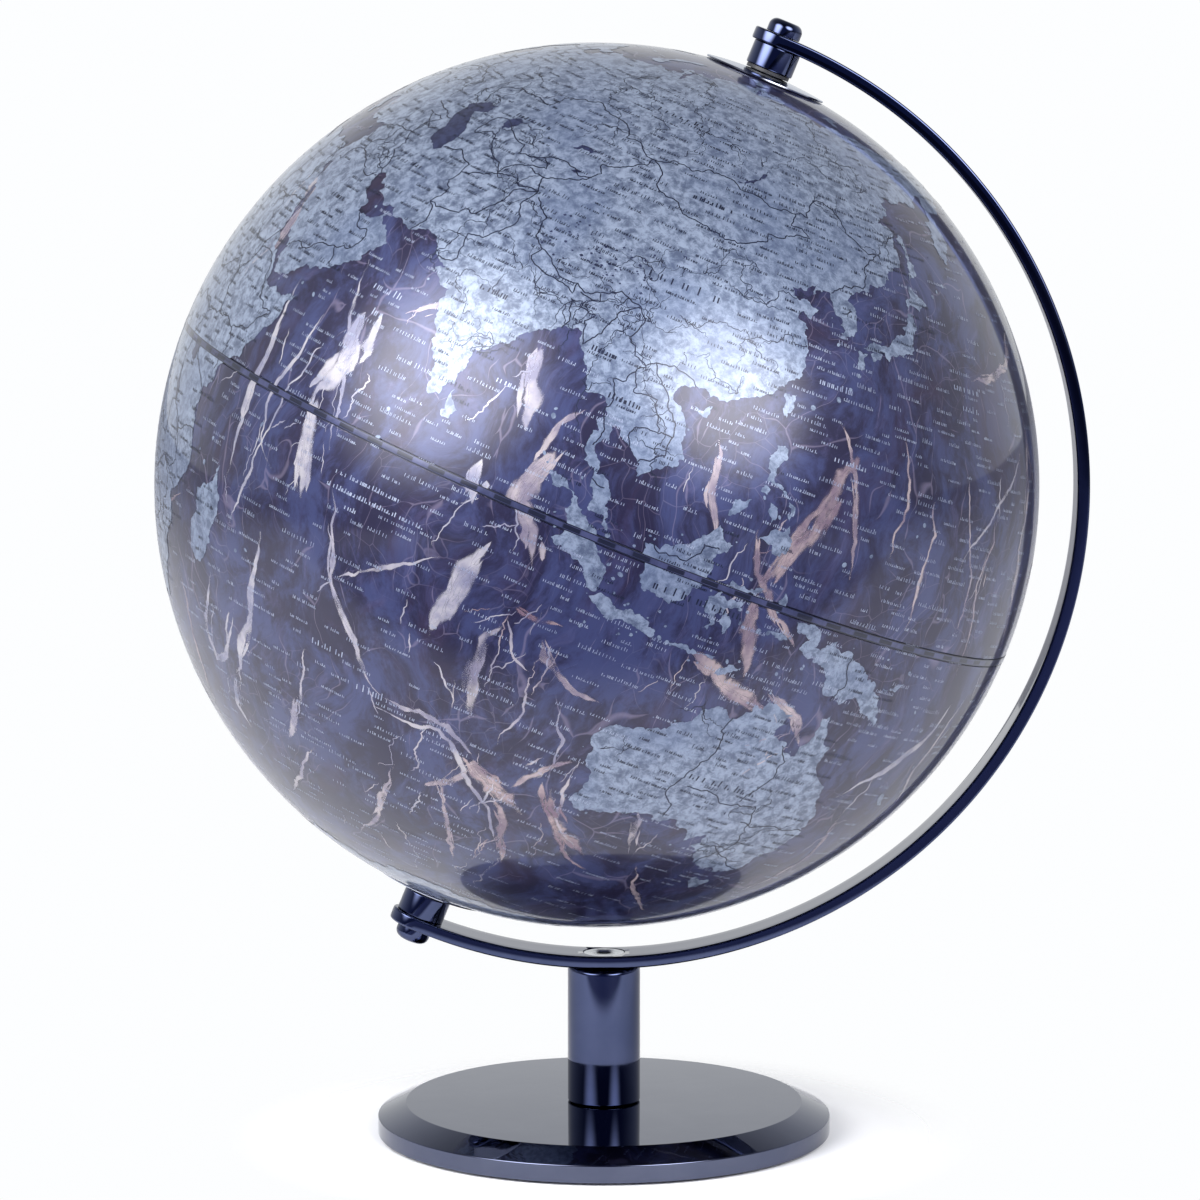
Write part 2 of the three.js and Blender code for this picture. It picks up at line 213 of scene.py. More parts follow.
room_light = add_node(room, "ShaderNodeBackground", {
    "Color": shown_colour, "Strength": shown_strength.outputs[0],
})
room_out = add_node(room, "ShaderNodeOutputWorld", {"Surface": room_light.outputs[0]})

# %% [markdown]
# ## Two soft boxes
# A soft box is a lamp behind a stretched cloth. The cloth glows most in its middle, so the glow
# on the ball has no hard outline. The left box is the larger and the stronger one.

# %% Lamps


def soft_box(name, azimuth, elevation, distance, size, power):
    """A soft lamp facing the ball; azimuth 0 is the camera's side and + is right. Its cloth
    glows most in the middle and fades out to its edge, so its reflections have no outline."""
    lamp = bpy.data.objects.new(name, bpy.data.lights.new(name, "AREA"))
    bpy.context.scene.collection.objects.link(lamp)
    lamp.data.shape = "RECTANGLE"
    lamp.data.size, lamp.data.size_y = size
    lamp.data.energy = power
    lamp.data.use_nodes = True
    cloth = lamp.data.node_tree
    spot = add_node(cloth, "ShaderNodeNewGeometry")
    centred = add_node(cloth, "ShaderNodeVectorMath", {
        0: spot.outputs["Parametric"], 1: (0.5, 0.5, 0),
    }, operation="SUBTRACT")
    split = add_node(cloth, "ShaderNodeSeparateXYZ", {0: centred.outputs[0]})
    flat = add_node(cloth, "ShaderNodeCombineXYZ", {
        0: split.outputs["X"], 1: split.outputs["Y"],
    })
    off_middle = add_node(cloth, "ShaderNodeVectorMath", {0: flat.outputs[0]}, operation="LENGTH")
    glow = add_node(cloth, "ShaderNodeMapRange", {
        "Value": off_middle.outputs["Value"], "From Min": 0.06, "From Max": 0.5,
        "To Min": 1.0, "To Max": 0.0,
    }, interpolation_type="SMOOTHERSTEP")
    cloth.links.new(glow.outputs["Result"], cloth.nodes["Emission"].inputs["Strength"])
    side, up = math.radians(azimuth), math.radians(elevation)
    level = math.cos(up)
    away = Vector((math.sin(side) * level, -math.cos(side) * level, math.sin(up)))
    lamp.location = ball_centre + away * distance
    lamp.rotation_euler = (-away).to_track_quat("-Z", "Y").to_euler()
    return lamp


soft_box("left_soft_box", -45, 31, 1.6, (2.15, 2.15), 165)
soft_box("right_soft_box", 35, 27, 1.6, (1.7, 1.7), 106)

# %% [markdown]
# ## Floor
# A plain pale table to stand on. It isn't part of the globe. Its front edge is
# just before the base, and the ground beyond it is dark, mostly straight ahead: that gives the
# ball its dark underside. To the camera the table fades out just past the base, so that there
# is no horizon line, but the metal still mirrors all of it.

# %% Floor
FLOOR_HALF = 6.0
TABLE_PALE = (0.93, 0.93, 0.94, 1)
GROUND_DARK = (0.03, 0.04, 0.13, 1)
floor_mesh = bpy.data.meshes.new("floor")
corners = [(-1, -1), (1, -1), (1, 1), (-1, 1)]
floor_mesh.from_pydata([(FLOOR_HALF * x, FLOOR_HALF * y, 0) for x, y in corners], [], [(0, 1, 2, 3)])
floor = bpy.data.objects.new("floor", floor_mesh)
bpy.context.scene.collection.objects.link(floor)
floor_paint = bpy.data.materials.new("floor_paint")
floor_paint.use_nodes = True
tree = floor_paint.node_tree
shader = tree.nodes["Principled BSDF"]
shader.inputs["Roughness"].default_value = 0.7
shader.inputs["Specular IOR Level"].default_value = 0.1
place = add_node(tree, "ShaderNodeTexCoord").outputs["Object"]
reach = add_node(tree, "ShaderNodeVectorMath", {0: place}, operation="LENGTH").outputs["Value"]
split = add_node(tree, "ShaderNodeSeparateXYZ", {0: place})
aside = math_node(tree, "ABSOLUTE", split.outputs["X"])
straight_ahead = ramp(tree, aside, 0.45, 1.2, 0.94, 0.55)
table_end = ramp(tree, split.outputs["Y"], -0.2, -0.32)
beyond = math_node(tree, "MULTIPLY", straight_ahead, table_end)
tree.links.new(blend(tree, beyond, TABLE_PALE, GROUND_DARK), shader.inputs["Base Color"])
looked_at = add_node(tree, "ShaderNodeLightPath").outputs["Is Camera Ray"]
near = ramp(tree, reach, 0.062, 0.11, 1.0, 0.0)
shown = add_node(tree, "ShaderNodeMix", {0: looked_at, 2: 1.0, 3: near})
tree.links.new(shown.outputs[0], shader.inputs["Alpha"])
floor_mesh.materials.append(floor_paint)

# %% [markdown]
# ## Shared finish groups
# Small effects that several finishes need are made once, as node groups. Each group only
# hands out a mask or a value, and the finish that uses it decides what the value drives.
# `axis_space` gives a place in millimetres with Z along the rod, so that prints and turned
# marks follow the leaning axis. `surface_wear` gives the faint haze, dust and hairlines that
# break up a perfect polish.

# %% Group helpers


def new_group(name, inputs, outputs):
    """A shader node group with named sockets; returns its tree, input node and output node."""
    tree = bpy.data.node_groups.new(name, "ShaderNodeTree")
    for label, kind, start in inputs:
        socket = tree.interface.new_socket(label, in_out="INPUT", socket_type=kind)
        socket.default_value = start
    for label, kind in outputs:
        tree.interface.new_socket(label, in_out="OUTPUT", socket_type=kind)
    return tree, tree.nodes.new("NodeGroupInput"), tree.nodes.new("NodeGroupOutput")


def use_group(tree, group, inputs=None):
    """Places a group in a finish and sets its inputs."""
    made = tree.nodes.new("ShaderNodeGroup")
    made.node_tree = group
    for key, value in (inputs or {}).items():
        if isinstance(value, bpy.types.NodeSocket):
            tree.links.new(value, made.inputs[key])
        else:
            made.inputs[key].default_value = value
    return made


# %% [markdown]
# ## Places along the axis
# The mapping undoes the axis's lean and turns metres into millimetres. It reads the object's
# own coordinates, so a print turns with its ball.

# %% Group: axis space
axis_space, start, end = new_group("axis_space", [], [("Place", "NodeSocketVector")])
here = add_node(axis_space, "ShaderNodeTexCoord")
upright = add_node(axis_space, "ShaderNodeMapping", {
    "Vector": here.outputs["Object"], "Location": ball_centre,
    "Rotation": (0, lean, 0), "Scale": (MM, MM, MM),
}, vector_type="TEXTURE")
axis_space.links.new(upright.outputs[0], end.inputs["Place"])

# %% [markdown]
# ## Haze, hairlines and dust
# Haze is slow noise, hairlines are noise drawn out in one direction, and dust is the middle of
# scattered cells. A finish takes as much of each as it needs.

# %% Group: surface wear
surface_wear, start, end = new_group(
    "surface_wear",
    [("Place", "NodeSocketVector", (0, 0, 0)), ("Haze size", "NodeSocketFloat", 0.05),
     ("Scratch amount", "NodeSocketFloat", 0.3)],
    [("Haze", "NodeSocketFloat"), ("Scratches", "NodeSocketFloat"), ("Dust", "NodeSocketFloat")],
)
haze = speckle(surface_wear, start.outputs["Place"], start.outputs["Haze size"], 4, 0.6, 0.4)
surface_wear.links.new(ramp(surface_wear, haze, 0.35, 0.75), end.inputs["Haze"])
drawn_out = add_node(surface_wear, "ShaderNodeMapping", {
    "Vector": start.outputs["Place"], "Rotation": (0.4, 0.2, 0.9), "Scale": (2.2, 0.05, 2.2),
})
hair = speckle(surface_wear, drawn_out.outputs[0], 1.6, 3, 0.7)
hair = ramp(surface_wear, hair, 0.68, 0.74)
hair = math_node(surface_wear, "MULTIPLY", hair, start.outputs["Scratch amount"])
surface_wear.links.new(hair, end.inputs["Scratches"])
dots = add_node(surface_wear, "ShaderNodeTexVoronoi", {
    "Vector": start.outputs["Place"], "Scale": 0.45, "Randomness": 1.0,
})
dust = ramp(surface_wear, dots.outputs["Distance"], 0.03, 0.0)
surface_wear.links.new(dust, end.inputs["Dust"])

# %% [markdown]
# ## Metal finishes
# The stand has a dark mirror plating, often called black nickel. It is a metal, so it gets
# Metallic 1 and a very dark blue base colour. Seen from above it is nearly black, and edge-on
# it turns pale grey, as the top of the base does here. The base disc gets a lighter copy of
# the plating. That copy is painted light: its brighter base colour lightens the reflections
# on the rim and top. Over the whole there are faint clouds of haze, so that long reflections
# aren't computer-clean.

# %% Dark plating


def new_finish(name):
    """A material with its tree, its Principled shader and axis-space places."""
    finish = bpy.data.materials.new(name)
    finish.use_nodes = True
    tree = finish.node_tree
    place = use_group(tree, axis_space).outputs["Place"]
    return finish, tree, tree.nodes["Principled BSDF"], place


def metal(name, dark, light, rough_low, rough_high, edge_tint, scratches, bump=0.0, grain=None):
    """A plated or turned metal: clouds of two tones, uneven polish, hairlines, faint waviness."""
    finish, tree, shader, place = new_finish(name)
    wear = use_group(tree, surface_wear, {
        "Place": place, "Haze size": 0.06, "Scratch amount": scratches,
    })
    tone = blend(tree, wear.outputs["Haze"], (*dark, 1), (*light, 1))
    tree.links.new(tone, shader.inputs["Base Color"])
    rough = ramp(tree, wear.outputs["Haze"], 0, 1, rough_low, rough_high)
    rough = math_node(tree, "ADD", rough, math_node(tree, "MULTIPLY", wear.outputs["Scratches"], 0.2))
    rough = math_node(tree, "ADD", rough, math_node(tree, "MULTIPLY", wear.outputs["Dust"], 0.25))
    tree.links.new(rough, shader.inputs["Roughness"])
    shader.inputs["Metallic"].default_value = 1.0
    shader.inputs["Specular Tint"].default_value = (*edge_tint, 1)
    if bump:
        height = speckle(tree, place, grain or 0.15, 2)
        relief = add_node(tree, "ShaderNodeBump", {
            "Height": height, "Strength": bump, "Distance": 0.0004,
        })
        tree.links.new(relief.outputs[0], shader.inputs["Normal"])
    return finish


dark_plating = metal(
    "dark_plating", (0.05, 0.062, 0.12), (0.062, 0.074, 0.138), 0.03, 0.07,
    (1.0, 0.99, 0.96), 0.25, bump=0.015,
)
# Painted light: a lighter copy of the same plating, so the base's rim and top mirror brighter than the
# post.
disc_plating_painted_light = metal(
    "disc_plating_painted_light", (0.086, 0.096, 0.145), (0.1, 0.11, 0.16), 0.03, 0.07,
    (0.92, 0.92, 0.91), 0.25, bump=0.015,
)
bright_steel = metal(
    "bright_steel", (0.52, 0.54, 0.57), (0.62, 0.63, 0.65), 0.16, 0.26, (1, 1, 1), 0.6,
    bump=0.05, grain=1.2,
)
cap_metal = metal(
    "cap_metal", (0.34, 0.36, 0.43), (0.42, 0.44, 0.5), 0.1, 0.18, (0.9, 0.92, 0.96), 0.4,
    bump=0.03, grain=0.5,
)

# %% [markdown]
# ## Hidden materials
# The pieces inside the ball and under the base are plain: nylon bushes, a pressed-board ring,
# and a felt pad. They still get a little grain, because the parts may be shown taken apart.

# %% Nylon, board and felt


def plain(name, dark, light, grain, rough_low, rough_high, bump, sheen=0.0):
    """A matte material with two-tone grain and a fine relief."""
    finish, tree, shader, place = new_finish(name)
    fleck = speckle(tree, place, grain, 5, 0.65)
    tone = blend(tree, ramp(tree, fleck, 0.3, 0.7), (*dark, 1), (*light, 1))
    tree.links.new(tone, shader.inputs["Base Color"])
    tree.links.new(ramp(tree, fleck, 0.2, 0.8, rough_low, rough_high), shader.inputs["Roughness"])
    shader.inputs["Sheen Weight"].default_value = sheen
    relief = add_node(tree, "ShaderNodeBump", {
        "Height": fleck, "Strength": bump, "Distance": 0.0003,
    })
    tree.links.new(relief.outputs[0], shader.inputs["Normal"])
    return finish


nylon = plain("nylon", (0.018, 0.018, 0.021), (0.026, 0.026, 0.03), 0.8, 0.42, 0.55, 0.12)
pressed_board = plain("pressed_board", (0.24, 0.18, 0.11), (0.34, 0.27, 0.18), 1.4, 0.85, 0.95, 0.5)
black_felt = plain("black_felt", (0.006, 0.006, 0.008), (0.017, 0.017, 0.02), 2.6, 0.9, 1.0, 1.0, 0.4)
print("finishes:", [m.name for m in bpy.data.materials])

# %% [markdown]
# ## How the round pieces are made
# Nearly everything on the stand is turned on a lathe, so one helper does most of the work. It
# takes an outline as (radius, height, rounding) rows, rounds each corner by its own amount,
# and spins it about Z. Real turned metal never has a perfectly sharp edge, and the small
# roundings are what catch the light. A row may also be marked as a hexagon, for key sockets.

# %% Turning helpers


def rounded(outline, steps=5):
    """Replaces each corner of an outline by a small arc of its own radius."""
    points = []
    for i, (radius, height, rounding) in enumerate(outline):
        corner = Vector((radius, height))
        if not rounding or i in (0, len(outline) - 1):
            points.append(corner)
            continue
        before = Vector(outline[i - 1][:2]) - corner
        after = Vector(outline[i + 1][:2]) - corner
        half = before.angle(after) / 2
        back = min(rounding / math.tan(half), before.length * 0.49, after.length * 0.49)
        first = corner + before.normalized() * back
        last = corner + after.normalized() * back
        for k in range(steps + 1):
            t = k / steps
            points.append(first * (1 - t) ** 2 + corner * 2 * t * (1 - t) + last * t * t)
    return points


def finish_mesh(name, vertices, faces, place=Matrix(), sharp_degrees=38):
    """Makes a smooth-shaded object with crisp edges where the surface really turns."""
    mesh = bpy.data.meshes.new(name)
    mesh.from_pydata([place @ Vector(v) for v in vertices], [], faces)
    mesh.validate()
    mesh.polygons.foreach_set("use_smooth", [True] * len(mesh.polygons))
    work = bmesh.new()
    work.from_mesh(mesh)
    bmesh.ops.recalc_face_normals(work, faces=work.faces)
    work.to_mesh(mesh)
    work.free()
    mesh.set_sharp_from_angle(angle=math.radians(sharp_degrees))
    made = bpy.data.objects.new(name, mesh)
    bpy.context.scene.collection.objects.link(made)
    return made


def dress(piece, material, body, node):
    """Gives a piece its finish and its body, and hides the frame piece it stands for."""
    piece.data.materials.append(material)
    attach(piece, body)
    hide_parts(node)
    return piece


def turned(name, outline, place=Matrix(), sides=192, hex_rows=()):
    """Spins an outline about Z. Heights and radii are in metres."""
    if hex_rows:
        points = [Vector(row[:2]) for row in outline]
        is_hex = [i in hex_rows for i in range(len(outline))]
    else:
        points = rounded(outline)
        is_hex = [False] * len(points)
    vertices, faces, rows = [], [], []
    for point, six_sided in zip(points, is_hex):
        if point.x < 1e-7:
            rows.append([len(vertices)] * sides)
            vertices.append((0, 0, point.y))
            continue
        rows.append(range(len(vertices), len(vertices) + sides))
        for k in range(sides):
            turn = 2 * math.pi * k / sides
            radius = point.x
            if six_sided:
                radius *= math.cos(math.pi / 6) / math.cos(turn % (math.pi / 3) - math.pi / 6)
            vertices.append((radius * math.cos(turn), radius * math.sin(turn), point.y))
    for low, high in zip(rows, rows[1:]):
        for k in range(sides):
            n = (k + 1) % sides
            ring = dict.fromkeys((low[k], low[n], high[n], high[k]))
            if len(ring) > 2:
                faces.append(tuple(ring))
    return finish_mesh(name, vertices, faces, place)


def ring(inner, outer, low, high, broken):
    """The outline of a plain ring with broken outer edges."""
    return [
        (inner, low, 0), (outer, low, broken), (outer, high, broken), (inner, high, 0),
        (inner, low, 0),
    ]


pole_places = {"north": lean_over, "south": lean_over @ Matrix.Rotation(math.pi, 4, "X")}


# %% [markdown]
# ## Base and post
# The base is a heavy turned disc: a short straight rim, a wide bevel and a flat top, all
# polished and plated. Its sizes come from the frame's boxes. The bevel's corners are barely
# broken, so that the rim of the top reads as one crisp line. The post is a plain round bar
# with a saddle milled into its top for the bent bar.

# %% Base
BEVEL_RUN = 8.1 * MM
BEVEL_RISE = 3.7 * MM
low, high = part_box("base_plate")
pad_low, pad_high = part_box("base_pad")
washer_low, washer_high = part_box("base_washer")
base_radius = high[0]
hole = 3.3 * MM
gap = 0.3 * MM
recess = pad_high[0] + gap
washer_room = washer_high[0] + gap
base_outline = [
    (hole, high[2], 0),
    (base_radius - BEVEL_RUN, high[2], 0.5 * MM),
    (base_radius, high[2] - BEVEL_RISE, 0.5 * MM),
    (base_radius, low[2], 0.4 * MM),
    (recess, low[2], 0.2 * MM),
    (recess, pad_high[2] + gap, 0),
    (washer_room, pad_high[2] + gap, 0),
    (washer_room, washer_high[2] + gap, 0),
    (hole, washer_high[2] + gap, 0),
    (hole, high[2], 0),
]
base = turned("base_disc", base_outline, sides=384)
dress(base, disc_plating_painted_light, "stand", "base_plate")
pad = turned("felt_pad", [
    (0, pad_low[2], 0), (pad_high[0], pad_low[2], 0.5 * MM),
    (pad_high[0], pad_high[2], 0.3 * MM), (0, pad_high[2], 0),
])
dress(pad, black_felt, "stand", "base_pad")
print(f"base {2 * base_radius / MM:.1f} mm across, top at {high[2] / MM:.2f} mm")

# %% [markdown]
# ## The post
# The post is bored from both ends, for the base screw and the arm screw. Its top is turned flat
# first, and then every point near it is lowered onto the bar's outer round.

# %% Post
low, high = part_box("post")
base_screw_low, base_screw_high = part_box("base_screw")
arm_screw_low, arm_screw_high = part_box("arm_screw")
post_radius = high[0]
blind = 2 * MM
post_outline = [
    (0, base_screw_high[2] + blind, 0),
    (hole, base_screw_high[2] + blind, 0),
    (hole, low[2], 0),
    (post_radius, low[2], 0.5 * MM),
    (post_radius, high[2], 1.3 * MM),
    (hole + 0.6 * MM, high[2], 0),
    (hole, high[2] - 0.6 * MM, 0),
    (hole, arm_screw_low[2] - blind, 0),
    (0, arm_screw_low[2] - blind, 0),
]
post = turned("post_column", post_outline)
saddle_radius = bar_outer + gap
SADDLE_ZONE = 2.0 * MM
for vertex in post.data.vertices:
    if vertex.co.z > high[2] - SADDLE_ZONE:
        seat = arc_centre.z - math.sqrt(saddle_radius**2 - vertex.co.x**2)
        vertex.co.z -= high[2] - seat
dress(post, dark_plating, "stand", "post")
print(f"post {2 * post_radius / MM:.1f} mm thick, {(high[2] - low[2]) / MM:.1f} mm tall")

# %% [markdown]
# ## The bent bar
# The real bar is cut flat, with round ends and three holes, its edges are ground round, and
# then it is rolled into a half circle. It is made the same way here: a flat outline is filled
# with triangles, its rim is rounded in a few steps, and every point is bent at the very end.
# Bending last keeps the holes round and the edges even.

# %% Bar
EDGE_ROUND = 0.6 * MM
EDGE_STEPS = 7
END_STEPS = 12
BEND_STEPS = 360
HOLE_SIDES = 64
END_FLAT = 0.2 * MM
rod_hole = on_axis("axle_rod")[0] + gap
half_circle = math.pi * (bar_inner + bar_outer) / 2
bend_radius = (bar_inner + bar_outer) / 2
half_thickness = (bar_outer - bar_inner) / 2
end_corner = bar_half_width - END_FLAT


def bent(along, across, height):
    """Carries a point of the flat bar onto the half circle; height is + on the outer face."""
    reach = bend_radius + height
    if along < 0:
        return Vector((along, across, reach))
    if along > half_circle:
        return Vector((half_circle - along, across, -reach))
    turn = along / bend_radius
    return Vector((reach * math.sin(turn), across, reach * math.cos(turn)))


def bar_outline(inset):
    """The flat bar's rim, moved inwards by the inset."""
    first = -bar_end + inset
    last = half_circle + bar_end - inset
    half = bar_half_width - inset
    corner = end_corner - inset
    turns = [math.pi / 2 * k / END_STEPS for k in range(END_STEPS + 1)]
    rim = [
        (first + corner - corner * math.cos(t), half - corner + corner * math.sin(t)) for t in turns
    ]
    rim += [(i * half_circle / BEND_STEPS, half) for i in range(BEND_STEPS + 1)]
    rim += [
        (last - corner + corner * math.sin(t), half - corner + corner * math.cos(t)) for t in turns
    ]
    return rim + [(along, -across) for along, across in reversed(rim)]


def circle(along, across, radius, steps=HOLE_SIDES):
    """A round hole's edge, in flat bar space."""
    turns = [2 * math.pi * k / steps for k in range(steps)]
    return [(along + radius * math.cos(t), across + radius * math.sin(t)) for t in turns]


rod_at = -(bar_end - 7.9 * MM)
screw_at = bend_radius * (math.pi - lean)
sink_radius = arm_screw_high[0] + gap / 2
holes = {
    "inner": [(rod_at, rod_hole), (half_circle - rod_at, rod_hole), (screw_at, sink_radius)],
    "outer": [(rod_at, rod_hole), (half_circle - rod_at, rod_hole), (screw_at, hole)],
}
vertices, faces = [], []
rim_rows = []
quarter = [math.pi / 2 * k / EDGE_STEPS for k in range(EDGE_STEPS + 1)]
for side, swing in [(-1, turn) for turn in reversed(quarter)] + [(1, turn) for turn in quarter]:
    inset = EDGE_ROUND * (1 - math.cos(swing))
    height = side * (half_thickness - EDGE_ROUND + EDGE_ROUND * math.sin(swing))
    rim_rows.append(len(vertices))
    vertices += [bent(s, w, height) for s, w in bar_outline(inset)]
count = len(bar_outline(0))
for low_row, high_row in zip(rim_rows, rim_rows[1:]):
    for i in range(count):
        j = (i + 1) % count
        faces.append((low_row + i, low_row + j, high_row + j, high_row + i))
for side, height in (("inner", -half_thickness), ("outer", half_thickness)):
    rim = bar_outline(EDGE_ROUND)
    edges = [circle(along, 0, radius) for along, radius in holes[side]]
    spread = [
        (i * half_circle / BEND_STEPS, w * bar_half_width)
        for i in range(BEND_STEPS + 1) for w in (-0.5, 0, 0.5)
    ]
    spread = [
        p for p in spread
        if all(math.hypot(p[0] - along, p[1]) > radius * 1.15 for along, radius in holes[side])
    ]
    points = [Vector(p) / MM for p in rim + sum(edges, []) + spread]
    loops = [list(range(count))]
    for edge in edges:
        first_at = max(loops[-1]) + 1
        loops.append(list(range(first_at, first_at + len(edge))))
    flat, _, filled, _, _, _ = geometry.delaunay_2d_cdt(points, [], loops, 1, 1e-5)
    flat = [p * MM for p in flat]
    start_at = len(vertices)
    vertices += [bent(p.x, p.y, height) for p in flat]
    for face in filled:
        middle = sum((flat[i] for i in face), Vector((0, 0))) / len(face)
        if all(math.hypot(middle.x - a, middle.y) > r * 0.995 for a, r in holes[side]):
            faces.append(tuple(start_at + i for i in face))
SINK_MOUTH = 0.4 * MM
for (along, inner_radius), (_, outer_radius) in zip(holes["inner"], holes["outer"]):
    levels = [(0, inner_radius), (2 * half_thickness, outer_radius)]
    if inner_radius > outer_radius:
        sink_end = SINK_MOUTH + inner_radius - outer_radius
        levels[1:1] = [(SINK_MOUTH, inner_radius), (sink_end, outer_radius)]
    previous = None
    for depth, radius in levels:
        row = len(vertices)
        vertices += [bent(s, w, depth - half_thickness) for s, w in circle(along, 0, radius)]
        for i in range(HOLE_SIDES if previous is not None else 0):
            j = (i + 1) % HOLE_SIDES
            faces.append((previous + i, previous + j, row + j, row + i))
        previous = row
bar = finish_mesh("bent_bar", vertices, faces, lean_bar)
work = bmesh.new()
work.from_mesh(bar.data)
bmesh.ops.remove_doubles(work, verts=work.verts, dist=1e-6)
bmesh.ops.recalc_face_normals(work, faces=work.faces)
work.to_mesh(bar.data)
work.free()
bar.data.set_sharp_from_angle(angle=math.radians(38))
dress(bar, dark_plating, "stand", "meridian_arm")
print("bar faces:", len(bar.data.polygons))

# %% [markdown]
# ## Screws, collars, nuts and rod
# The bar sits on the post by a countersunk screw with a hex socket, which is bright turned
# steel. At each end of the rod a domed nut holds the bar from outside and a collar holds it
# off the ball from inside.

# %% Screws
closed = gap - 0.03 * MM


def screw(name, node, head_up, material):
    """A hex-socket screw: the head's sizes follow the frame piece's box."""
    low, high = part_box(node)
    shaft = 3.0 * MM
    head = high[0]
    flip = 1 if head_up else -1
    top = high[2] + closed if head_up else low[2]
    far = low[2] if head_up else high[2]
    cone = head - shaft if head_up else 0
    rim = 0.4 * MM if head_up else 3 * MM
    socket = (2.3 if head_up else 2.6) * MM
    depth = (2.0 if head_up else 1.8) * MM
    broken = 0.25 * MM
    rows = [
        (0, far), (shaft - broken, far), (shaft, far + flip * broken),
        (shaft, top - flip * (rim + cone)), (head, top - flip * rim),
        (head, top - flip * broken), (head - broken, top),
        (socket + 0.35 * MM, top), (socket, top - flip * 0.3 * MM),
        (socket, top - flip * depth), (0, top - flip * (depth + 0.4 * MM)),
    ]
    made = turned(name, [(r, z, 0) for r, z in rows], hex_rows=(8, 9))
    return dress(made, material, "stand", node)


screw("socket_screw", "arm_screw", True, bright_steel)
screw("foot_screw", "base_screw", False, bright_steel)
foot_washer = turned(
    "foot_washer", ring(hole, washer_high[0], washer_low[2], washer_high[2], 0.2 * MM),
)
dress(foot_washer, bright_steel, "stand", "base_washer")

# %% [markdown]
# ## On the rod
# The same stack of pieces sits at both ends of the rod, so one loop makes it twice, upright, and
# leans it over. The pieces of the stand are let out until they all but touch, because a real
# stack is pulled tight by its nuts.

# %% Rod, nuts and collars
DOME = 2.3 * MM
CROWN = 2.7 * MM
EDGE = 0.45 * MM
rod_radius, _, rod_end = on_axis("axle_rod")
rod = turned("axle_bar", [
    (0, -rod_end, 0), (rod_radius, -rod_end, 0.4 * MM),
    (rod_radius, rod_end, 0.4 * MM), (0, rod_end, 0),
], lean_over, sides=64)
dress(rod, bright_steel, "stand", "axle_rod")
for pole, upright in pole_places.items():
    collar_radius, start, top = on_axis(f"{pole}_collar")
    collar = turned(
        f"{pole}_spacer", ring(rod_hole, collar_radius, start - closed, top + closed, EDGE), upright,
    )
    dress(collar, dark_plating, "stand", f"{pole}_collar")

    washer_radius, start, top = on_axis(f"{pole}_thrust_washer")
    washer = turned(
        f"{pole}_slip_washer", ring(rod_hole, washer_radius, start - closed, top, 0.15 * MM), upright,
    )
    dress(washer, nylon, "stand", f"{pole}_thrust_washer")

    nut_radius, start, top = on_axis(f"{pole}_cap_nut")
    start -= closed
    skirt = top - DOME
    dome = []
    for k in range(1, 13):
        swing = math.pi / 2 * k / 12
        reach = CROWN + (nut_radius - CROWN) * math.cos(swing)
        dome.append((reach, skirt + DOME * math.sin(swing), 0))
    nut = turned(f"{pole}_domed_nut", [
        (0, rod_end + gap, 0), (rod_hole, rod_end + gap, 0), (rod_hole, start, 0),
        (nut_radius, start, 0.2 * MM), (nut_radius, skirt, 0), *dome, (0, top, 0),
    ], upright)
    dress(nut, dark_plating, "stand", f"{pole}_cap_nut")

    barrel = 5.0 * MM
    start, top = on_axis(f"{pole}_bush")[1:]
    flange, flange_low, flange_high = on_axis(f"{pole}_bush", 1.5 * barrel)
    bush = turned(f"{pole}_nylon_bush", [
        (rod_hole, start, 0), (barrel, start, 0.4 * MM), (barrel, flange_low, 0.3 * MM),
        (flange, flange_low, 0.4 * MM), (flange, flange_high, 0.4 * MM),
        (barrel, flange_high, 0.3 * MM), (barrel, top, 0.4 * MM), (rod_hole, top, 0),
        (rod_hole, start, 0),
    ], upright)
    dress(bush, nylon, "globe", f"{pole}_bush")
print("rod", round(2 * rod_end / MM, 1), "mm long")

# %% [markdown]
# ## The ball's print, layer by layer
# A printed globe carries a map in ink on foil, under clear lacquer. The print is built the same
# way, as very thin layers: the sea sheet, pale mineral veins, silver land, then the fine dark
# and pale line work. Each layer lies a few hundredths of a millimetre above the one below, so
# they never fight for the same place. All of them face straight out from the ball's middle,
# which keeps the lacquer's reflections perfectly round.
#
# Places on the map are given as degrees east and north. `on_ball` carries them to the ball.

# %% Map places
FACING_EAST = 103.5
to_stand = np.array(lean_over.to_3x3())
middle = np.array(ball_centre)


def on_ball(east, north, lift=0.0):
    """Carries degrees east and north to places on the ball, raised by the lift."""
    side = np.radians(np.asarray(east, float) - FACING_EAST)
    up = np.radians(np.asarray(north, float))
    out = np.stack([np.cos(up) * np.sin(side), -np.cos(up) * np.cos(side), np.sin(up)], axis=-1)
    return middle + (out @ to_stand.T) * (ball_radius + np.asarray(lift)[..., None])


def places(text):
    """Reads a line of 'east,north' pairs."""
    return np.array([[float(v) for v in pair.split(",")] for pair in text.split()])


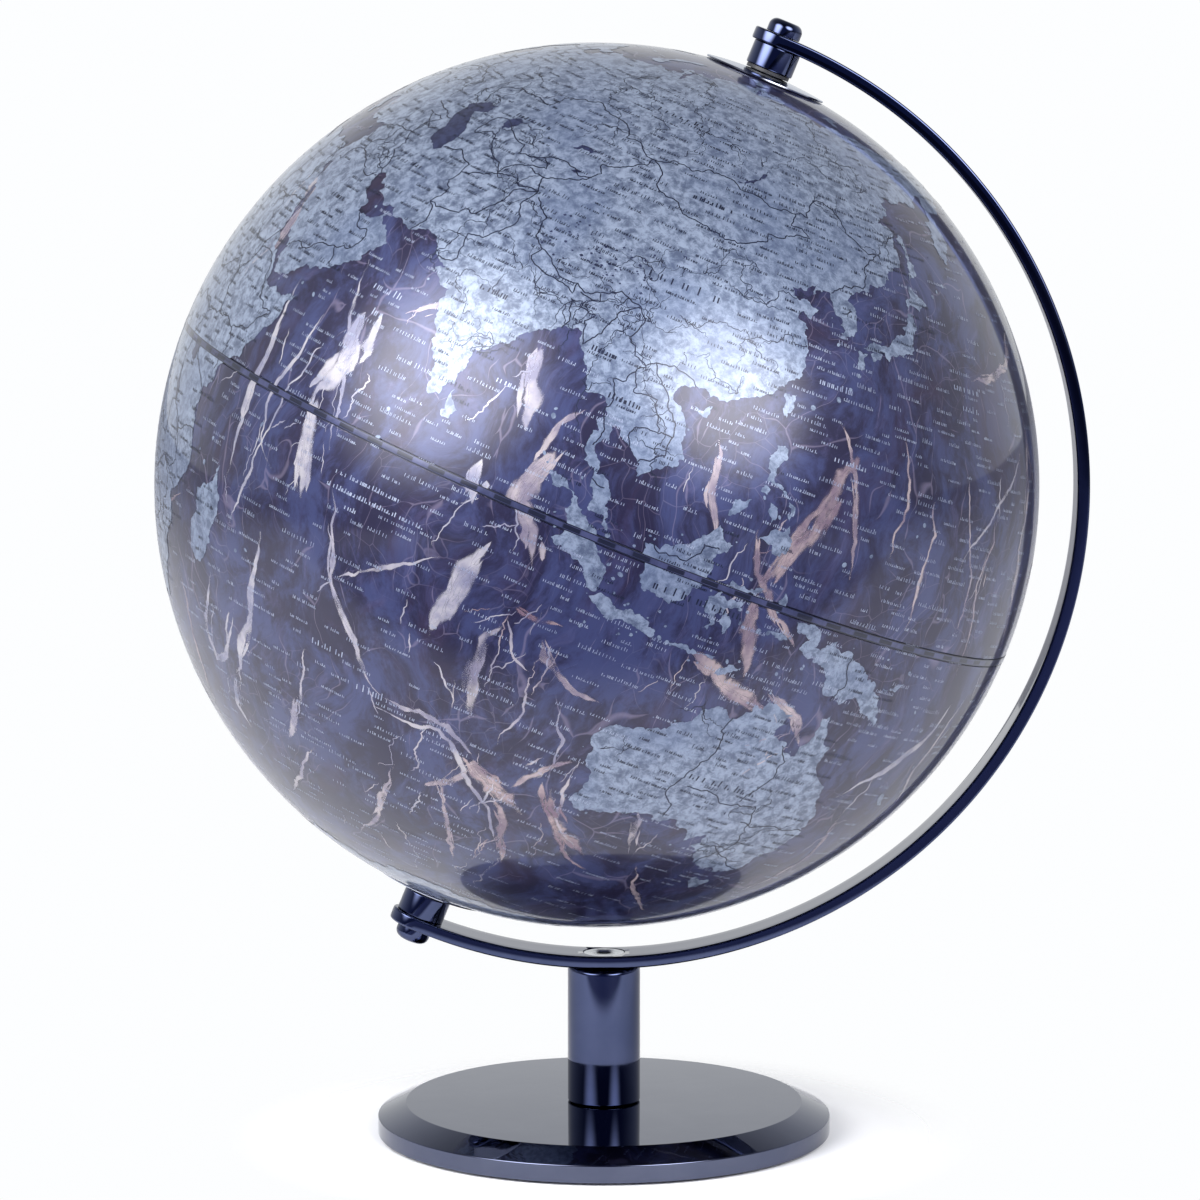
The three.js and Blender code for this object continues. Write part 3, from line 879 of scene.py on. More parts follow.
def layer(name, vertices, faces, material, marks=None):
    """A print layer on the ball; marks are named values for each vertex."""
    mesh = bpy.data.meshes.new(name)
    mesh.from_pydata([tuple(v) for v in vertices], [], faces)
    mesh.polygons.foreach_set("use_smooth", [True] * len(mesh.polygons))
    for label, values in (marks or {}).items():
        field = mesh.attributes.new(label, "FLOAT", "POINT")
        field.data.foreach_set("value", np.asarray(values, np.float32))
    points = np.array([v.co for v in mesh.vertices]) - middle
    points /= np.linalg.norm(points, axis=1)[:, None]
    faces_out = np.array([p.normal for p in mesh.polygons])
    first = np.array([p.vertices[0] for p in mesh.polygons])
    if len(first) and ((faces_out * points[first]).sum(1) < 0).mean() > 0.5:
        mesh.flip_normals()
    mesh.normals_split_custom_set_from_vertices([tuple(p) for p in points])
    made = bpy.data.objects.new(name, mesh)
    bpy.context.scene.collection.objects.link(made)
    mesh.materials.append(material)
    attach(made, "globe")
    return made


# %% [markdown]
# ## Inks
# Sea, land and veins share one build. The foil under the ink gives every colour a little
# metal, and the lacquer is a clear coat, so each ink is a half metallic satin with a coat of
# polish. `lacquered` sets those up, and each ink then brings its own colours.

# %% Lacquer
INK_METAL = 0.4
INK_ROUGH = 0.4


def lacquered(name):
    """An ink under clear lacquer: returns the material, its tree, shader and place socket."""
    ink, tree, shader, place = new_finish(name)
    shader.inputs["Metallic"].default_value = INK_METAL
    shader.inputs["Roughness"].default_value = INK_ROUGH
    shader.inputs["Specular Tint"].default_value = (0.62, 0.64, 0.68, 1)
    shader.inputs["IOR"].default_value = 1.5
    shader.inputs["Coat Weight"].default_value = 0.8
    shader.inputs["Coat Roughness"].default_value = 0.06
    shader.inputs["Coat IOR"].default_value = 1.42
    return ink, tree, shader, place


def colour(red, green, blue):
    """A screen colour from 0 to 255, as the linear values a shader wants."""
    return tuple(((c / 255 + 0.055) / 1.055) ** 2.4 for c in (red, green, blue)) + (1,)


# %% [markdown]
# ## Marble group
# The seas are printed as dark blue marble. Its grain runs roughly pole to pole, so noise is
# squeezed sideways and stretched along the axis, after a gentle warp that makes it flow. The
# group hands out a cloud mask for the ground colours, a web of hairline cracks, and stains.

# %% Marble
marble, start, end = new_group(
    "marble",
    [("Place", "NodeSocketVector", (0, 0, 0)), ("Grain", "NodeSocketFloat", 1.0)],
    [("Clouds", "NodeSocketFloat"), ("Streaks", "NodeSocketFloat"),
     ("Cracks", "NodeSocketFloat"), ("Stains", "NodeSocketFloat")],
)
bend = add_node(marble, "ShaderNodeTexNoise", {
    "Vector": start.outputs["Place"], "Scale": 0.022, "Detail": 3.0,
}, normalize=True)
shift = add_node(marble, "ShaderNodeVectorMath", {
    0: bend.outputs["Color"], 1: (0.5, 0.5, 0.5),
}, operation="SUBTRACT")
shift = add_node(marble, "ShaderNodeVectorMath", {
    0: shift.outputs[0], "Scale": 34.0,
}, operation="SCALE")
flowing = add_node(marble, "ShaderNodeVectorMath", {
    0: start.outputs["Place"], 1: shift.outputs[0],
}, operation="ADD").outputs[0]


def along_grain(lengthwise):
    """Places drawn out along the stone's grain; the smaller the value, the longer the marks."""
    return add_node(marble, "ShaderNodeMapping", {
        "Vector": flowing, "Rotation": (0, 0.28, 0.2), "Scale": (1, 1, lengthwise),
    }).outputs[0]


stretched = along_grain(0.22)
squeezed = along_grain(0.45)
clouds = speckle(marble, squeezed, 0.075, 8, 0.7, 0.15)
marble.links.new(ramp(marble, clouds, 0.42, 0.62), end.inputs["Clouds"])
streaks = speckle(marble, along_grain(0.12), 0.2, 8, 0.7, 0.3)
marble.links.new(ramp(marble, streaks, 0.52, 0.74), end.inputs["Streaks"])
cells = add_node(marble, "ShaderNodeTexVoronoi", {
    "Vector": stretched, "Scale": 0.06, "Randomness": 1.0,
}, feature="DISTANCE_TO_EDGE")
cell_wide = speckle(marble, flowing, 0.09, 3)
crack_width = ramp(marble, cell_wide, 0.42, 0.75, 0.0001, 0.03)
crack = ramp(marble, cells.outputs["Distance"], 0.0, crack_width, 1.0, 0.0)
fine_cells = add_node(marble, "ShaderNodeTexVoronoi", {
    "Vector": flowing, "Scale": 0.13, "Randomness": 1.0,
}, feature="DISTANCE_TO_EDGE")
fine_crack = ramp(marble, fine_cells.outputs["Distance"], 0.02, 0.0)
patchy = ramp(marble, speckle(marble, start.outputs["Place"], 0.026, 2), 0.5, 0.62)
fine_crack = math_node(marble, "MULTIPLY", fine_crack, patchy)
cracks = math_node(marble, "MAXIMUM", crack, math_node(marble, "MULTIPLY", fine_crack, 0.7))
marble.links.new(cracks, end.inputs["Cracks"])
stains = speckle(marble, stretched, 0.045, 4, 0.6, 1.0)
marble.links.new(ramp(marble, stains, 0.52, 0.68), end.inputs["Stains"])

# %% [markdown]
# ## Sea ink
# The clouds set the ground colour. Stains, streaks and cracks are then washed over it one by
# one, each by its own share.

# %% Sea ink
sea_ink, tree, shader, place = lacquered("sea_ink")
stone = use_group(tree, marble, {"Place": place})
tone = blend(tree, stone.outputs["Clouds"], colour(30, 27, 54), colour(54, 60, 98))
for mask_name, share, tint in (
    ("Stains", 0.45, colour(50, 36, 60)),
    ("Streaks", 0.5, colour(82, 80, 118)),
    ("Cracks", 0.34, colour(136, 126, 150)),
):
    tone = blend(tree, math_node(tree, "MULTIPLY", stone.outputs[mask_name], share), tone, tint)
tree.links.new(tone, shader.inputs["Base Color"])

# %% [markdown]
# ## Vein ink
# A vein is a wash of pale ink, not a solid one. Noise drawn out along the grain tears its edges
# and cuts dark slits in it, and a second noise mottles its colour.

# %% Vein ink
vein_ink, tree, shader, place = lacquered("vein_ink")
strength = add_node(tree, "ShaderNodeAttribute", attribute_name="strength")
warmth = add_node(tree, "ShaderNodeAttribute", attribute_name="warmth")
drawn = add_node(tree, "ShaderNodeMapping", {
    "Vector": place, "Rotation": (0, 0.25, 0.2), "Scale": (1, 1, 0.16),
}).outputs[0]
ragged_edge = speckle(tree, drawn, 0.3, 2.5, 0.5, 0.5)
uneven = math_node(tree, "MULTIPLY", math_node(tree, "SUBTRACT", ragged_edge, 0.5), 1.5)
mask = ramp(tree, math_node(tree, "ADD", strength.outputs["Fac"], uneven), 0.08, 0.62)
slits = speckle(tree, drawn, 0.14, 2, 0.5)
mask = math_node(tree, "MULTIPLY", mask, ramp(tree, slits, 0.28, 0.42, 0.2))
tree.links.new(math_node(tree, "MULTIPLY", mask, 0.72), shader.inputs["Alpha"])
mottle = speckle(tree, place, 0.1, 4, 0.6)
pale = blend(tree, ramp(tree, mottle, 0.35, 0.65), colour(142, 142, 166), colour(198, 194, 200))
rosy = blend(tree, ramp(tree, mottle, 0.38, 0.66), colour(128, 106, 120), colour(186, 164, 162))
tone = blend(tree, warmth.outputs["Fac"], pale, rosy)
tree.links.new(tone, shader.inputs["Base Color"])

# %% [markdown]
# ## Land ink
# The land is silvery, with a fine crumpled grain like pressed foil and a few broad bluer areas.

# %% Land ink
land_ink, tree, shader, place = lacquered("land_ink")
relief = speckle(tree, place, 0.34, 8, 0.74, 0.3)
broad = speckle(tree, place, 0.03, 3)
tone = blend(tree, ramp(tree, relief, 0.36, 0.64), colour(76, 86, 108), colour(136, 148, 168))
tone = blend(
    tree, math_node(tree, "MULTIPLY", ramp(tree, broad, 0.4, 0.7), 0.5), tone, colour(88, 102, 132),
)
tree.links.new(tone, shader.inputs["Base Color"])


# %% [markdown]
# ## Line inks
# Borders, rivers, lakes and names use flat inks. They only differ in their two tones.

# %% Line inks


def line_ink(name, dark, light):
    """A plain printing ink with a little unevenness, under the same lacquer."""
    ink, tree, shader, place = lacquered(name)
    uneven = speckle(tree, place, 0.5, 3)
    tree.links.new(blend(tree, ramp(tree, uneven, 0.35, 0.65), dark, light), shader.inputs["Base Color"])
    return ink


dark_ink = line_ink("dark_ink", colour(18, 22, 42), colour(30, 36, 60))
pale_ink = line_ink("pale_ink", colour(126, 134, 160), colour(160, 168, 188))
lake_ink = line_ink("lake_ink", colour(30, 34, 62), colour(46, 52, 84))

# %% [markdown]
# ## Shells
# The ball is two hollow half shells that meet at the equator, where a shallow groove takes
# the tape. Each is turned with fine steps. The skin on the outside gets the sea ink.

# %% Shells
WALL = 2.0 * MM
GROOVE_HALF = 1.3 * MM
GROOVE_DEEP = 0.7 * MM
hub = 5.3 * MM


def arc(radius, from_height, to_radius, steps):
    """Points on the ball's round from a height above the seam to a hole round the rod."""
    low_turn = math.asin(from_height / radius)
    high_turn = math.acos(to_radius / radius)
    turns = [low_turn + (high_turn - low_turn) * i / steps for i in range(steps + 1)]
    return [(radius * math.cos(t), radius * math.sin(t), 0) for t in turns]


seam_half = 0.15 * MM
for pole, upright in pole_places.items():
    outer = arc(ball_radius, GROOVE_HALF, hub, 120)
    inner = arc(ball_radius - WALL, seam_half, hub, 30)[::-1]
    step = [(ball_radius - GROOVE_DEEP, seam_half, 0), (ball_radius - GROOVE_DEEP, GROOVE_HALF, 0)]
    shell = turned(f"{pole}_half_ball", step + outer + inner + step[:1], upright, sides=360)
    dress(shell, sea_ink, "globe", f"{pole}_shell")
print("shell faces:", len(shell.data.polygons))

# %% [markdown]
# ## Land
# Coasts are given by a modest number of corner points, from Asia outwards. Real coasts are
# ragged at every scale, so each edge is split again and again, and each new point is pushed
# sideways by a random share of the edge. That gives bays and capes for free. The filled
# outline is then cut into small triangles, with extra points inside so that it hugs the ball.

# %% Coast outlines
LAND = {
    "asia and europe":
        "32.6,29.9 34,31.2 35,32.8 35.8,34.5 35.8,36 36.2,36.7 34,36.3 32.5,36.1 30.7,36.8 "
        "29.5,36.2 28,36.7 27.3,37.3 26.4,38.4 26.9,39.1 26.1,39.5 26.7,40.4 29,40.4 29.1,41.2 "
        "31.4,41.3 33.3,42 35,42 36.4,41.3 38.5,41 41.5,41.5 41.5,42.6 39,44 37.3,45 36.7,45.3 "
        "38,46.5 39.2,47.1 37.5,46.9 35,46.2 34.8,45.8 36.4,45.4 35.3,45 33.5,44.5 32.6,45.4 "
        "33.6,46.1 31.5,46.6 30.5,46 29.7,45.2 28.6,44 27.7,42.6 28.2,41.5 28.9,41.2 27.3,40.7 "
        "26.2,40.3 26,40.8 24,40.8 23.7,40.3 22.7,40.4 23.2,39.2 24,37.8 22.9,37.4 23,36.5 "
        "21.7,36.8 21.2,38.2 20.2,39.3 19.4,40.8 19.5,42 17.6,43 15.3,44.3 13.7,45 13.5,45.7 "
        "12.3,45.3 12.5,44.2 14,42.5 16,41.9 18.5,40.2 17,40.5 16.6,39.6 17.1,39 15.8,38 16,39.3 "
        "15,40.2 12.5,41.6 10.5,43 8.9,44.4 6.5,43.2 3.2,43.2 3.2,42 0.5,40.6 0,38.8 -0.8,37.7 "
        "-2.2,36.8 -5.4,36.1 -6.4,36.9 -8.9,37 -9.4,38.8 -8.8,41 -9.2,43.1 -8,43.7 -1.8,43.4 "
        "-1.2,45 -2.5,47.2 -4.7,48 -4,48.7 -1.5,48.7 -1.8,49.7 0.2,49.6 1.6,50.8 4.3,52.1 5,53.3 "
        "8.5,53.7 8.2,55.5 8.3,57 10.6,57.7 10.3,56.3 9.7,55 11,54 14.2,53.9 18.5,54.7 21,55.2 "
        "21.3,57 23,57.2 24.3,57.5 23.5,59 28,59.7 30,60 25,60.2 22,60.3 21.3,62 22.5,63.8 "
        "25.3,65.1 22.2,65.7 20,63.7 17.3,61.5 17.3,60.6 18.8,59.8 16.7,58.5 16.4,56.8 14.3,55.5 "
        "12.9,55.6 11.2,58.8 10.5,59.4 8,58 5.5,58.9 5,61.5 8.5,63.6 12.5,66 15,68.3 19,69.9 "
        "25,71 31,70.3 33,69.4 41,67.5 40,66.2 34,66.7 34.8,64.5 38,64 40.5,64.6 40,65.8 44,66.3 "
        "44,68.3 46.5,67.7 54,68.5 60,69 61,70 67,69 67,71.5 69.5,73 72.5,71.5 73,68.5 73.5,67 "
        "74,69 73.5,71 75,72.8 80.5,72.5 80.5,73.6 87,75 98,76 104,77.7 113,76 113,73.9 106,73 "
        "113,73.6 124,73.6 129,71 140,72.6 152,71 160,69.7 170,69 176,69.8 181,68.8 190,66 "
        "187,64.5 180,65 179,62.5 172,61 170,60 163.5,59.8 163,56.5 160,53 156.7,51 155.8,55 "
        "156.7,57.5 161.5,60 164,62.5 160,61.8 155,59.4 148,59.4 142.5,59.3 137,54 141,53 "
        "140.5,50 140.3,48 135.5,44 132,43.2 129.7,41.5 127.5,39.8 129.4,37 129,35.2 126.4,34.4 "
        "126.7,37 125,38 124.3,39.9 121.2,38.8 122,40.6 119,39.2 117.7,38.8 119,37.3 122.5,37 "
        "119.3,35 121.5,32 121.8,30.9 121.9,29 119.7,26 117,23.6 114,22.3 110.5,21.3 109.8,20.4 "
        "109.8,21.5 108,21.6 105.8,19 108.9,15.5 109.2,11.6 106.7,10.2 105,8.7 104.8,10.3 "
        "102.5,12 101,13.4 100,13.3 99.3,9.5 100.4,7.2 103,5.5 103.4,2.5 104.2,1.4 101.3,2.8 "
        "100.3,5.5 98.4,8.2 98.7,12 97.6,16.2 95.2,15.9 94.3,18.5 92.2,20.8 91,22.7 88.5,21.7 "
        "86.9,20.9 85,19.4 82.3,16.6 80.1,15.2 80.2,12.8 79.8,10.3 77.6,8.1 76.2,10 74.8,13 "
        "73,17 72.7,20.5 70.8,20.8 69,22.3 70.3,22.9 67.5,23.9 66.6,25.3 61.6,25.2 57.3,25.8 "
        "56.5,27.1 54,26.6 51.4,27.9 50,30.1 48,30 48.4,28.4 50.2,26.5 51.3,26 51.6,24.3 54,24.2 "
        "56.2,26.2 56.5,24.5 59.8,22.4 57.8,20 57.7,18.9 55.2,17.3 52.2,15.6 45,12.8 43.4,12.7 "
        "42.8,16 39.1,21 38,24 35,28 34.9,29.5 34.3,27.9",
    "africa":
        "32.5,31.2 32.4,29.9 34,27 35.5,24 37.2,20.8 38.5,18 39.8,15.2 43.2,12.3 43.2,11.5 "
        "44.8,10.5 51.2,11.9 50,8.5 47.5,4.5 42,-1 39.5,-4.5 39.3,-8 40.6,-11 40.6,-15 "
        "36.5,-18.5 34.8,-20 35.5,-23.5 32.8,-25.7 32.5,-28.5 29,-32.5 25.7,-34 20,-34.8 "
        "18.3,-34 18.2,-31.5 15.2,-27 14.4,-22.5 11.8,-17.5 13.7,-12.3 13,-8.8 12.2,-6 9,-1 "
        "9.7,3.8 8.5,4.7 6,4.3 4,6.3 1,5.9 -2,4.8 -7.6,4.3 -11.5,6.8 -13.3,9 -16.8,12.4 "
        "-17.5,14.7 -16.2,18 -17,21 -14.8,25.5 -12,28 -9.7,29.8 -9.8,31.5 -6.8,34 -5.9,35.8 "
        "-2.2,35.1 3,36.8 9.8,37.3 11,36.8 10.1,34.3 15.2,32.3 19,30.3 20,32.6 23,32.7 25.5,31.5 "
        "30,31.3",
    "madagascar": "49.3,-12 50.3,-15.5 47.2,-24.8 45,-25.5 43.4,-22.3 44.3,-19.8 44.4,-16.3 47.5,-14.8",
    "sri lanka": "80.2,9.7 81.6,7.5 81,6.2 80.1,6.1 79.8,8",
    "australia":
        "114,-22 113.5,-24.8 114.1,-27.5 115.7,-31.8 115,-34.2 117.9,-35 121.5,-33.9 124,-33.1 "
        "126,-32.3 131,-31.5 134.2,-32.7 135.3,-34.6 137.8,-32.6 137.2,-35.3 138.5,-35.6 "
        "140.5,-38 143.6,-38.8 146.4,-39 149.9,-37.5 151.2,-33.8 153,-31 153.6,-28.3 152.9,-25.3 "
        "150.8,-23.3 149,-20.5 146.3,-18.9 145.4,-15 143.8,-14.3 142.5,-10.8 141.7,-13 141.6,-15 "
        "140.8,-17.5 139,-17.4 136,-15.6 135.5,-14.8 136.8,-12.2 132.6,-11.4 130.9,-12.4 "
        "129.6,-14.9 128.2,-14.8 126.8,-14 124.5,-15.4 123.6,-17.4 122.2,-18 121,-19.6 117,-20.7",
    "tasmania": "144.7,-40.8 148.2,-40.8 148,-43 146.8,-43.6 145.4,-42.5",
    "new guinea":
        "131,-0.8 134.2,-0.8 134.9,-3.2 137.8,-1.5 141,-2.6 145.8,-5.3 147.9,-6.7 150.8,-10.4 "
        "147.2,-9.5 144.5,-7.7 142.5,-9.2 139,-8.1 138.2,-6 135.5,-4.4 132.9,-4 133.8,-2.4 132,-2.2",
    "borneo":
        "109,1.8 109.2,0.5 110.2,-1.3 110.2,-2.9 111.8,-3.4 114.6,-4.1 116.2,-3 116.5,-1.2 "
        "117.6,0.8 117.9,2 117.7,3.6 119.2,5.2 116.8,7 115.3,5.2 113.2,3.2 111.3,2.5 111,1.6 109.7,2.1",
    "sumatra":
        "95.3,5.6 97.5,5.2 100.4,2.5 103.4,0.2 104.5,-1.8 106,-3.2 105.8,-5.8 104.5,-5.8 "
        "101.5,-3.2 98.8,1.6 96,4",
    "java":
        "105.2,-6.7 106.1,-6 108.6,-6.7 110.8,-6.4 112.7,-6.9 114.4,-7.8 114.3,-8.7 110.4,-8.1 "
        "106.4,-7.4",
    "sulawesi":
        "119.7,-0.7 120.8,1.3 123.5,0.9 125.1,1.6 124.3,0.4 120.3,0.5 120.1,-1 121.5,-0.9 "
        "123.3,-0.9 121.6,-2 122.8,-4 122.3,-5.3 121.5,-4.2 120.9,-2.7 120.4,-3.3 120.4,-5.6 "
        "119.5,-5.4 119.5,-3.5 118.9,-2.8",
    "luzon": "120.6,18.4 122.2,18.4 121.6,16 121.8,14 124.1,12.8 122.3,13.7 120.7,13.9 120.2,16",
    "mindanao": "122,7 123.4,8.6 125.4,9.8 126.4,8 126.2,6.4 125.4,5.8 124,6.9",
    "samar": "124.3,12.4 125.5,11.5 125.2,10.2 124.5,11",
    "negros": "122,11.6 123.2,10.9 122.9,9.3 122,10.5",
    "mindoro": "120.5,13.4 121.4,13.1 121.2,12.3",
    "palawan": "117.3,8.4 119.5,11.2 119.3,10.2 117.6,8.4",
    "taiwan": "121.5,25.2 121.3,23 120.8,22 120.1,23.4",
    "hainan": "108.7,19.2 110.9,20 110,18.4",
    "honshu":
        "130.9,34.2 132.7,35.5 135.8,35.6 137,37 138.8,37.8 140,39.8 141,41.4 142,39.6 141,38.2 "
        "140.8,35.7 138.8,34.8 137,34.6 135.8,33.6 134.9,34.6 132.4,34.2",
    "kyushu": "130,33.5 131.7,33.6 131.4,31.5 130.3,31.2",
    "shikoku": "132.3,33.8 134.5,34.2 134,33.4 132.8,32.9",
    "hokkaido": "140.2,42.3 141.6,45.4 144,44.1 145.4,43.3 143.2,42 141,42.5 140.3,41.6",
    "sakhalin": "142,46.2 142.6,49 142.3,53.5 143.2,52 143.2,49.3 144.5,49 143.5,46.9",
    "new zealand north": "172.8,-34.5 175.4,-36.6 178.4,-37.7 177,-39.3 175,-41.5 173.8,-39.3 174.7,-38",
    "new zealand south":
        "172.7,-40.6 174.2,-41.6 172.8,-43.7 170.8,-45.8 168.4,-46.6 166.6,-45.9 168.5,-44 171.3,-42.3",
    "novaya zemlya": "52,71 57,70.6 56,73 61,75.5 68,77 60,76.2 54,73.5",
    "svalbard": "11,79 15,77 21,78.5 27,80 17,80",
    "severnaya zemlya": "96,79 100,78 105,78.5 99,80.5 93,80.5",
    "new siberian islands": "138,75.5 143,73.5 150,75 145,75.8",
    "britain":
        "-5.5,50.1 1.3,51.2 1.7,52.7 0,53.5 -1.6,55.5 -3.2,56 -2,57.6 -3.2,58.6 -5,58.6 -6,56.8 "
        "-4.8,54.8 -3,54 -4.5,53.3 -4.8,51.8 -3,51.4",
    "ireland": "-6.2,52.3 -6,54 -7.5,55.3 -10,54.2 -10.2,52",
    "iceland": "-22.5,64 -18.5,63.5 -14.5,64.5 -15,66.2 -20,66 -22.5,66.4 -24,65.5",
    "sicily": "12.5,38 15.5,38.2 15,36.7",
    "sardinia": "8.3,41 9.6,41 9.5,39.2 8.5,39",
    "corsica": "8.7,42.5 9.5,42.8 9.3,41.5",
    "timor": "123.6,-10.3 127,-8.4 125.5,-9.5",
    "halmahera": "127.5,0.8 128,2 128.7,1 128,-0.7",
    "seram": "128,-3 129.5,-2.8 130.8,-3.4 129.4,-3.5",
    "flores": "118,-8.4 120,-8.3 122.8,-8.2 122.6,-8.7 120,-8.9",
    "sumbawa": "116.4,-8.4 117.8,-8.2 119,-8.4 118.4,-8.8",
    "new britain": "148.5,-5.7 152,-4.5 151,-5.8",
    "new caledonia": "164,-20.2 167,-22.2 165.5,-21.8",
    "north america":
        "-168,65.6 -162,66.5 -166,68.4 -156.6,71.3 -141,69.7 -128,70 -115,68.5 -108,68 -96,68 "
        "-94,71.8 -90,69 -82,69.5 -82,67 -87,65 -94,61 -94.5,58.8 -88,56.5 -82.3,55 -80,51.5 "
        "-79,54.5 -77,56 -78,62.4 -73,62 -70,60.5 -65,60.2 -61.5,56.5 -56,52.5 -60,50.2 -66,50.2 "
        "-70,47 -64.5,49 -64.5,46.5 -60.5,46 -66,43.5 -67,44.8 -70.5,43 -70,41.7 -74,40.5 -76,37 "
        "-75.7,35.3 -81,31.8 -80.2,26 -81.3,25.3 -82.7,28 -84.2,30 -89.5,29.8 -94,29.6 "
        "-97.3,27.5 -97.8,22.3 -96,19 -91,18.6 -90.4,21 -87,21.4 -88.2,16 -83.3,15 -83.5,10.8 "
        "-81,9 -77.5,8.6 -77.8,7.2 -80.3,7.4 -83.5,8.5 -86,11 -88,13.2 -94,16.1 -99,16.8 "
        "-105.5,20 -109.5,26 -113,31 -114.6,31.5 -112,27 -109.7,23 -112,25 -115,28 -117,32.5 "
        "-120.6,34.5 -122.5,37.5 -124.3,40.4 -124.2,46 -123,48.5 -128,51.5 -131,55 -136,58.5 "
        "-145,60.5 -151,59.5 -154,58.5 -163,55 -158,57.5 -162,59 -166,61.5 -161,64.5",
    "greenland": "-73,78 -60,76 -54,70 -52,65 -44,60 -40,65 -22,70 -19,76 -17,80 -30,83.3 -60,82",
    "baffin": "-80,73.5 -72,71 -62,66.5 -66,62 -73,64.5 -73,68 -80,69.8 -88,71",
    "ellesmere": "-90,77 -78,76.5 -63,82 -70,83 -90,81.5",
    "victoria": "-117,71.5 -105,69 -104,72.5 -113,73",
    "newfoundland": "-59,47.7 -53,47 -55.5,51.5",
    "cuba": "-84.9,21.9 -80,23 -74.3,20.2 -77.5,19.9 -81,21.9",
    "hispaniola": "-74.3,18.4 -73,19.9 -68.4,18.6 -71,17.8",
    "south america":
        "-77.5,8.6 -75.5,10.7 -71.8,12.3 -71.5,10 -68,10.6 -62,10.6 -57,6 -52,4.8 -50,1 -48,-1 "
        "-44,-2.6 -38,-4 -35,-6.5 -35.3,-9.5 -39,-13.5 -39.2,-18 -41,-22 -46.5,-24.3 -48.6,-28 "
        "-52.3,-32.5 -54.5,-34.8 -58.3,-34 -57,-36.8 -62,-39 -65,-41 -63.8,-42.6 -67.3,-46 "
        "-66,-48 -69,-51.5 -68.5,-52.5 -65.2,-54.7 -70,-55 -74,-52 -75.3,-47 -73,-42 -73.6,-37.5 "
        "-71.5,-32 -70.3,-24 -70.3,-18.3 -76,-14 -79.5,-7.5 -81.3,-4.5 -80,-2.5 -80.2,0.5 "
        "-77.3,3.8 -77.8,7.2",
    "antarctica":
        "-180,-78.5 -160,-78 -150,-77 -135,-74.5 -120,-73.8 -100,-72.5 -80,-73 -70,-72 -67,-68 "
        "-58,-63.5 -61,-66 -63,-70 -60,-74 -78,-79 -50,-79.5 -35,-78.5 -20,-74 0,-70 20,-70 "
        "40,-69 55,-66 70,-68 75,-70 85,-67 100,-66 115,-66.5 130,-66 145,-67 160,-69.5 170,-72 "
        "165,-77.5 180,-78.5 180,-85 -180,-85",
}
LAKES = {
    "caspian":
        "47,45 49.5,46.5 53,46.8 53,45 51,44.5 50.3,44.3 52.5,42 53.9,40.5 53.8,37 50,37.5 "
        "49,38.5 49.3,40.4 47.5,43",
    "aral": "58.5,45.5 60,46.5 61,45 59,43.8",
    "balkhash": "73.5,45.5 74.5,46.7 79,46.6 75,46.2",
    "baikal": "103.8,51.5 106,52 109.8,55.7 108,53.5 106.5,52.7",
    "victoria": "32,0.3 34,0 33.5,-2.5 31.8,-2",
    "superior": "-92,46.7 -85,46.8 -86,48.6 -89,48.2",
    "michigan": "-87.5,41.8 -86,42 -85.3,45.5 -87.5,44.5",
    "huron": "-83.5,44 -81.5,43.5 -80,45.5 -84,46",
    "ladoga": "31,60 33,61 31,61.8",
    "onega": "34.5,61 36,61.5 35,62.5",
    "issyk": "76.4,42.3 78.3,42.5 77.5,42.7",
    "tanganyika": "29.2,-3.5 30,-5.5 31,-8.5 30.4,-8.3 29.3,-6",
    "malawi": "34,-9.6 34.8,-11.5 35,-14 34.4,-12.5",
    "qinghai": "99.8,37 100.5,36.7 100.4,37.1",
    "khanka": "132.2,45 132.7,44.8 132.5,45.3",
    "eyre": "137,-28.2 137.6,-28.8 137.4,-28",
    "bear": "-124,65.2 -120,65.5 -119,66.6 -123,66.4",
    "slave": "-116,61 -110,62.4 -114,62.3",
    "winnipeg": "-98.5,50.5 -96.5,51 -98,53.8 -99,53",
    "titicaca": "-70,-15.4 -68.8,-16.4 -69.6,-16.2",
}
SMALL_ISLES = places(
    "92.8,12.5 92.9,11.6 93.7,7.1 73.2,4.2 73.4,0.6 72.4,-7.3 55.5,-21.1 57.6,-20.3 53.9,12.5 "
    "69.5,-49.3 70.3,-49.4 55.5,-4.6 46.2,-9.4 45.2,-12.8 43.4,-11.6 105.7,-10.5 96.9,-12.2 "
    "115.2,-8.4 116.3,-8.6 119.8,-9.8 121,-9.7 124.5,-8.3 126,-7.8 127.9,-3.3 126.6,-3.5 "
    "131.5,-7.8 134.5,-6.2 134.6,-5.8 105.9,-2.3 107.7,-2.9 104.5,0.9 97.6,1.1 99,-1.5 98.3,-0.4 "
    "100,-2.6 127.8,26.5 129.4,28.3 124.2,24.4 130.5,30.4 126.5,33.4 147.8,45 149.5,46 152,47.2 "
    "156,50.3 145.7,15.1 144.8,13.5 134.5,7.5 138.1,9.5 147,-2 152,-3 155.2,-6.2 157.5,-7.8 "
    "160,-9.5 161.7,-10.3 167,-15.5 168.4,-17.7 178,-17.8 179.3,-16.7 -171.8,-13.8 -155.5,19.6 "
    "-157.9,21.4 -149.4,-17.6 -175,-21 33,35 25,35.2 14.4,35.9 2.9,39.6 10.3,55.3 18.5,57.6 "
    "22.6,58.4 -16.5,28.3 -25.6,37.8 -59,-51.7 -37,-54.3 -91,-0.7 137.5,69.5 121,11.9 123.7,10.3"
)
coast_points = sum(len(text.split()) for text in LAND.values())
print("coasts:", len(LAND), "outlines,", coast_points, "corner points")

# %% [markdown]
# ## From corners to land
# Two helpers turn an outline into print: one roughens it, and one fills it with triangles. A
# third joins many outlines into one layer, so that all land is a single piece.

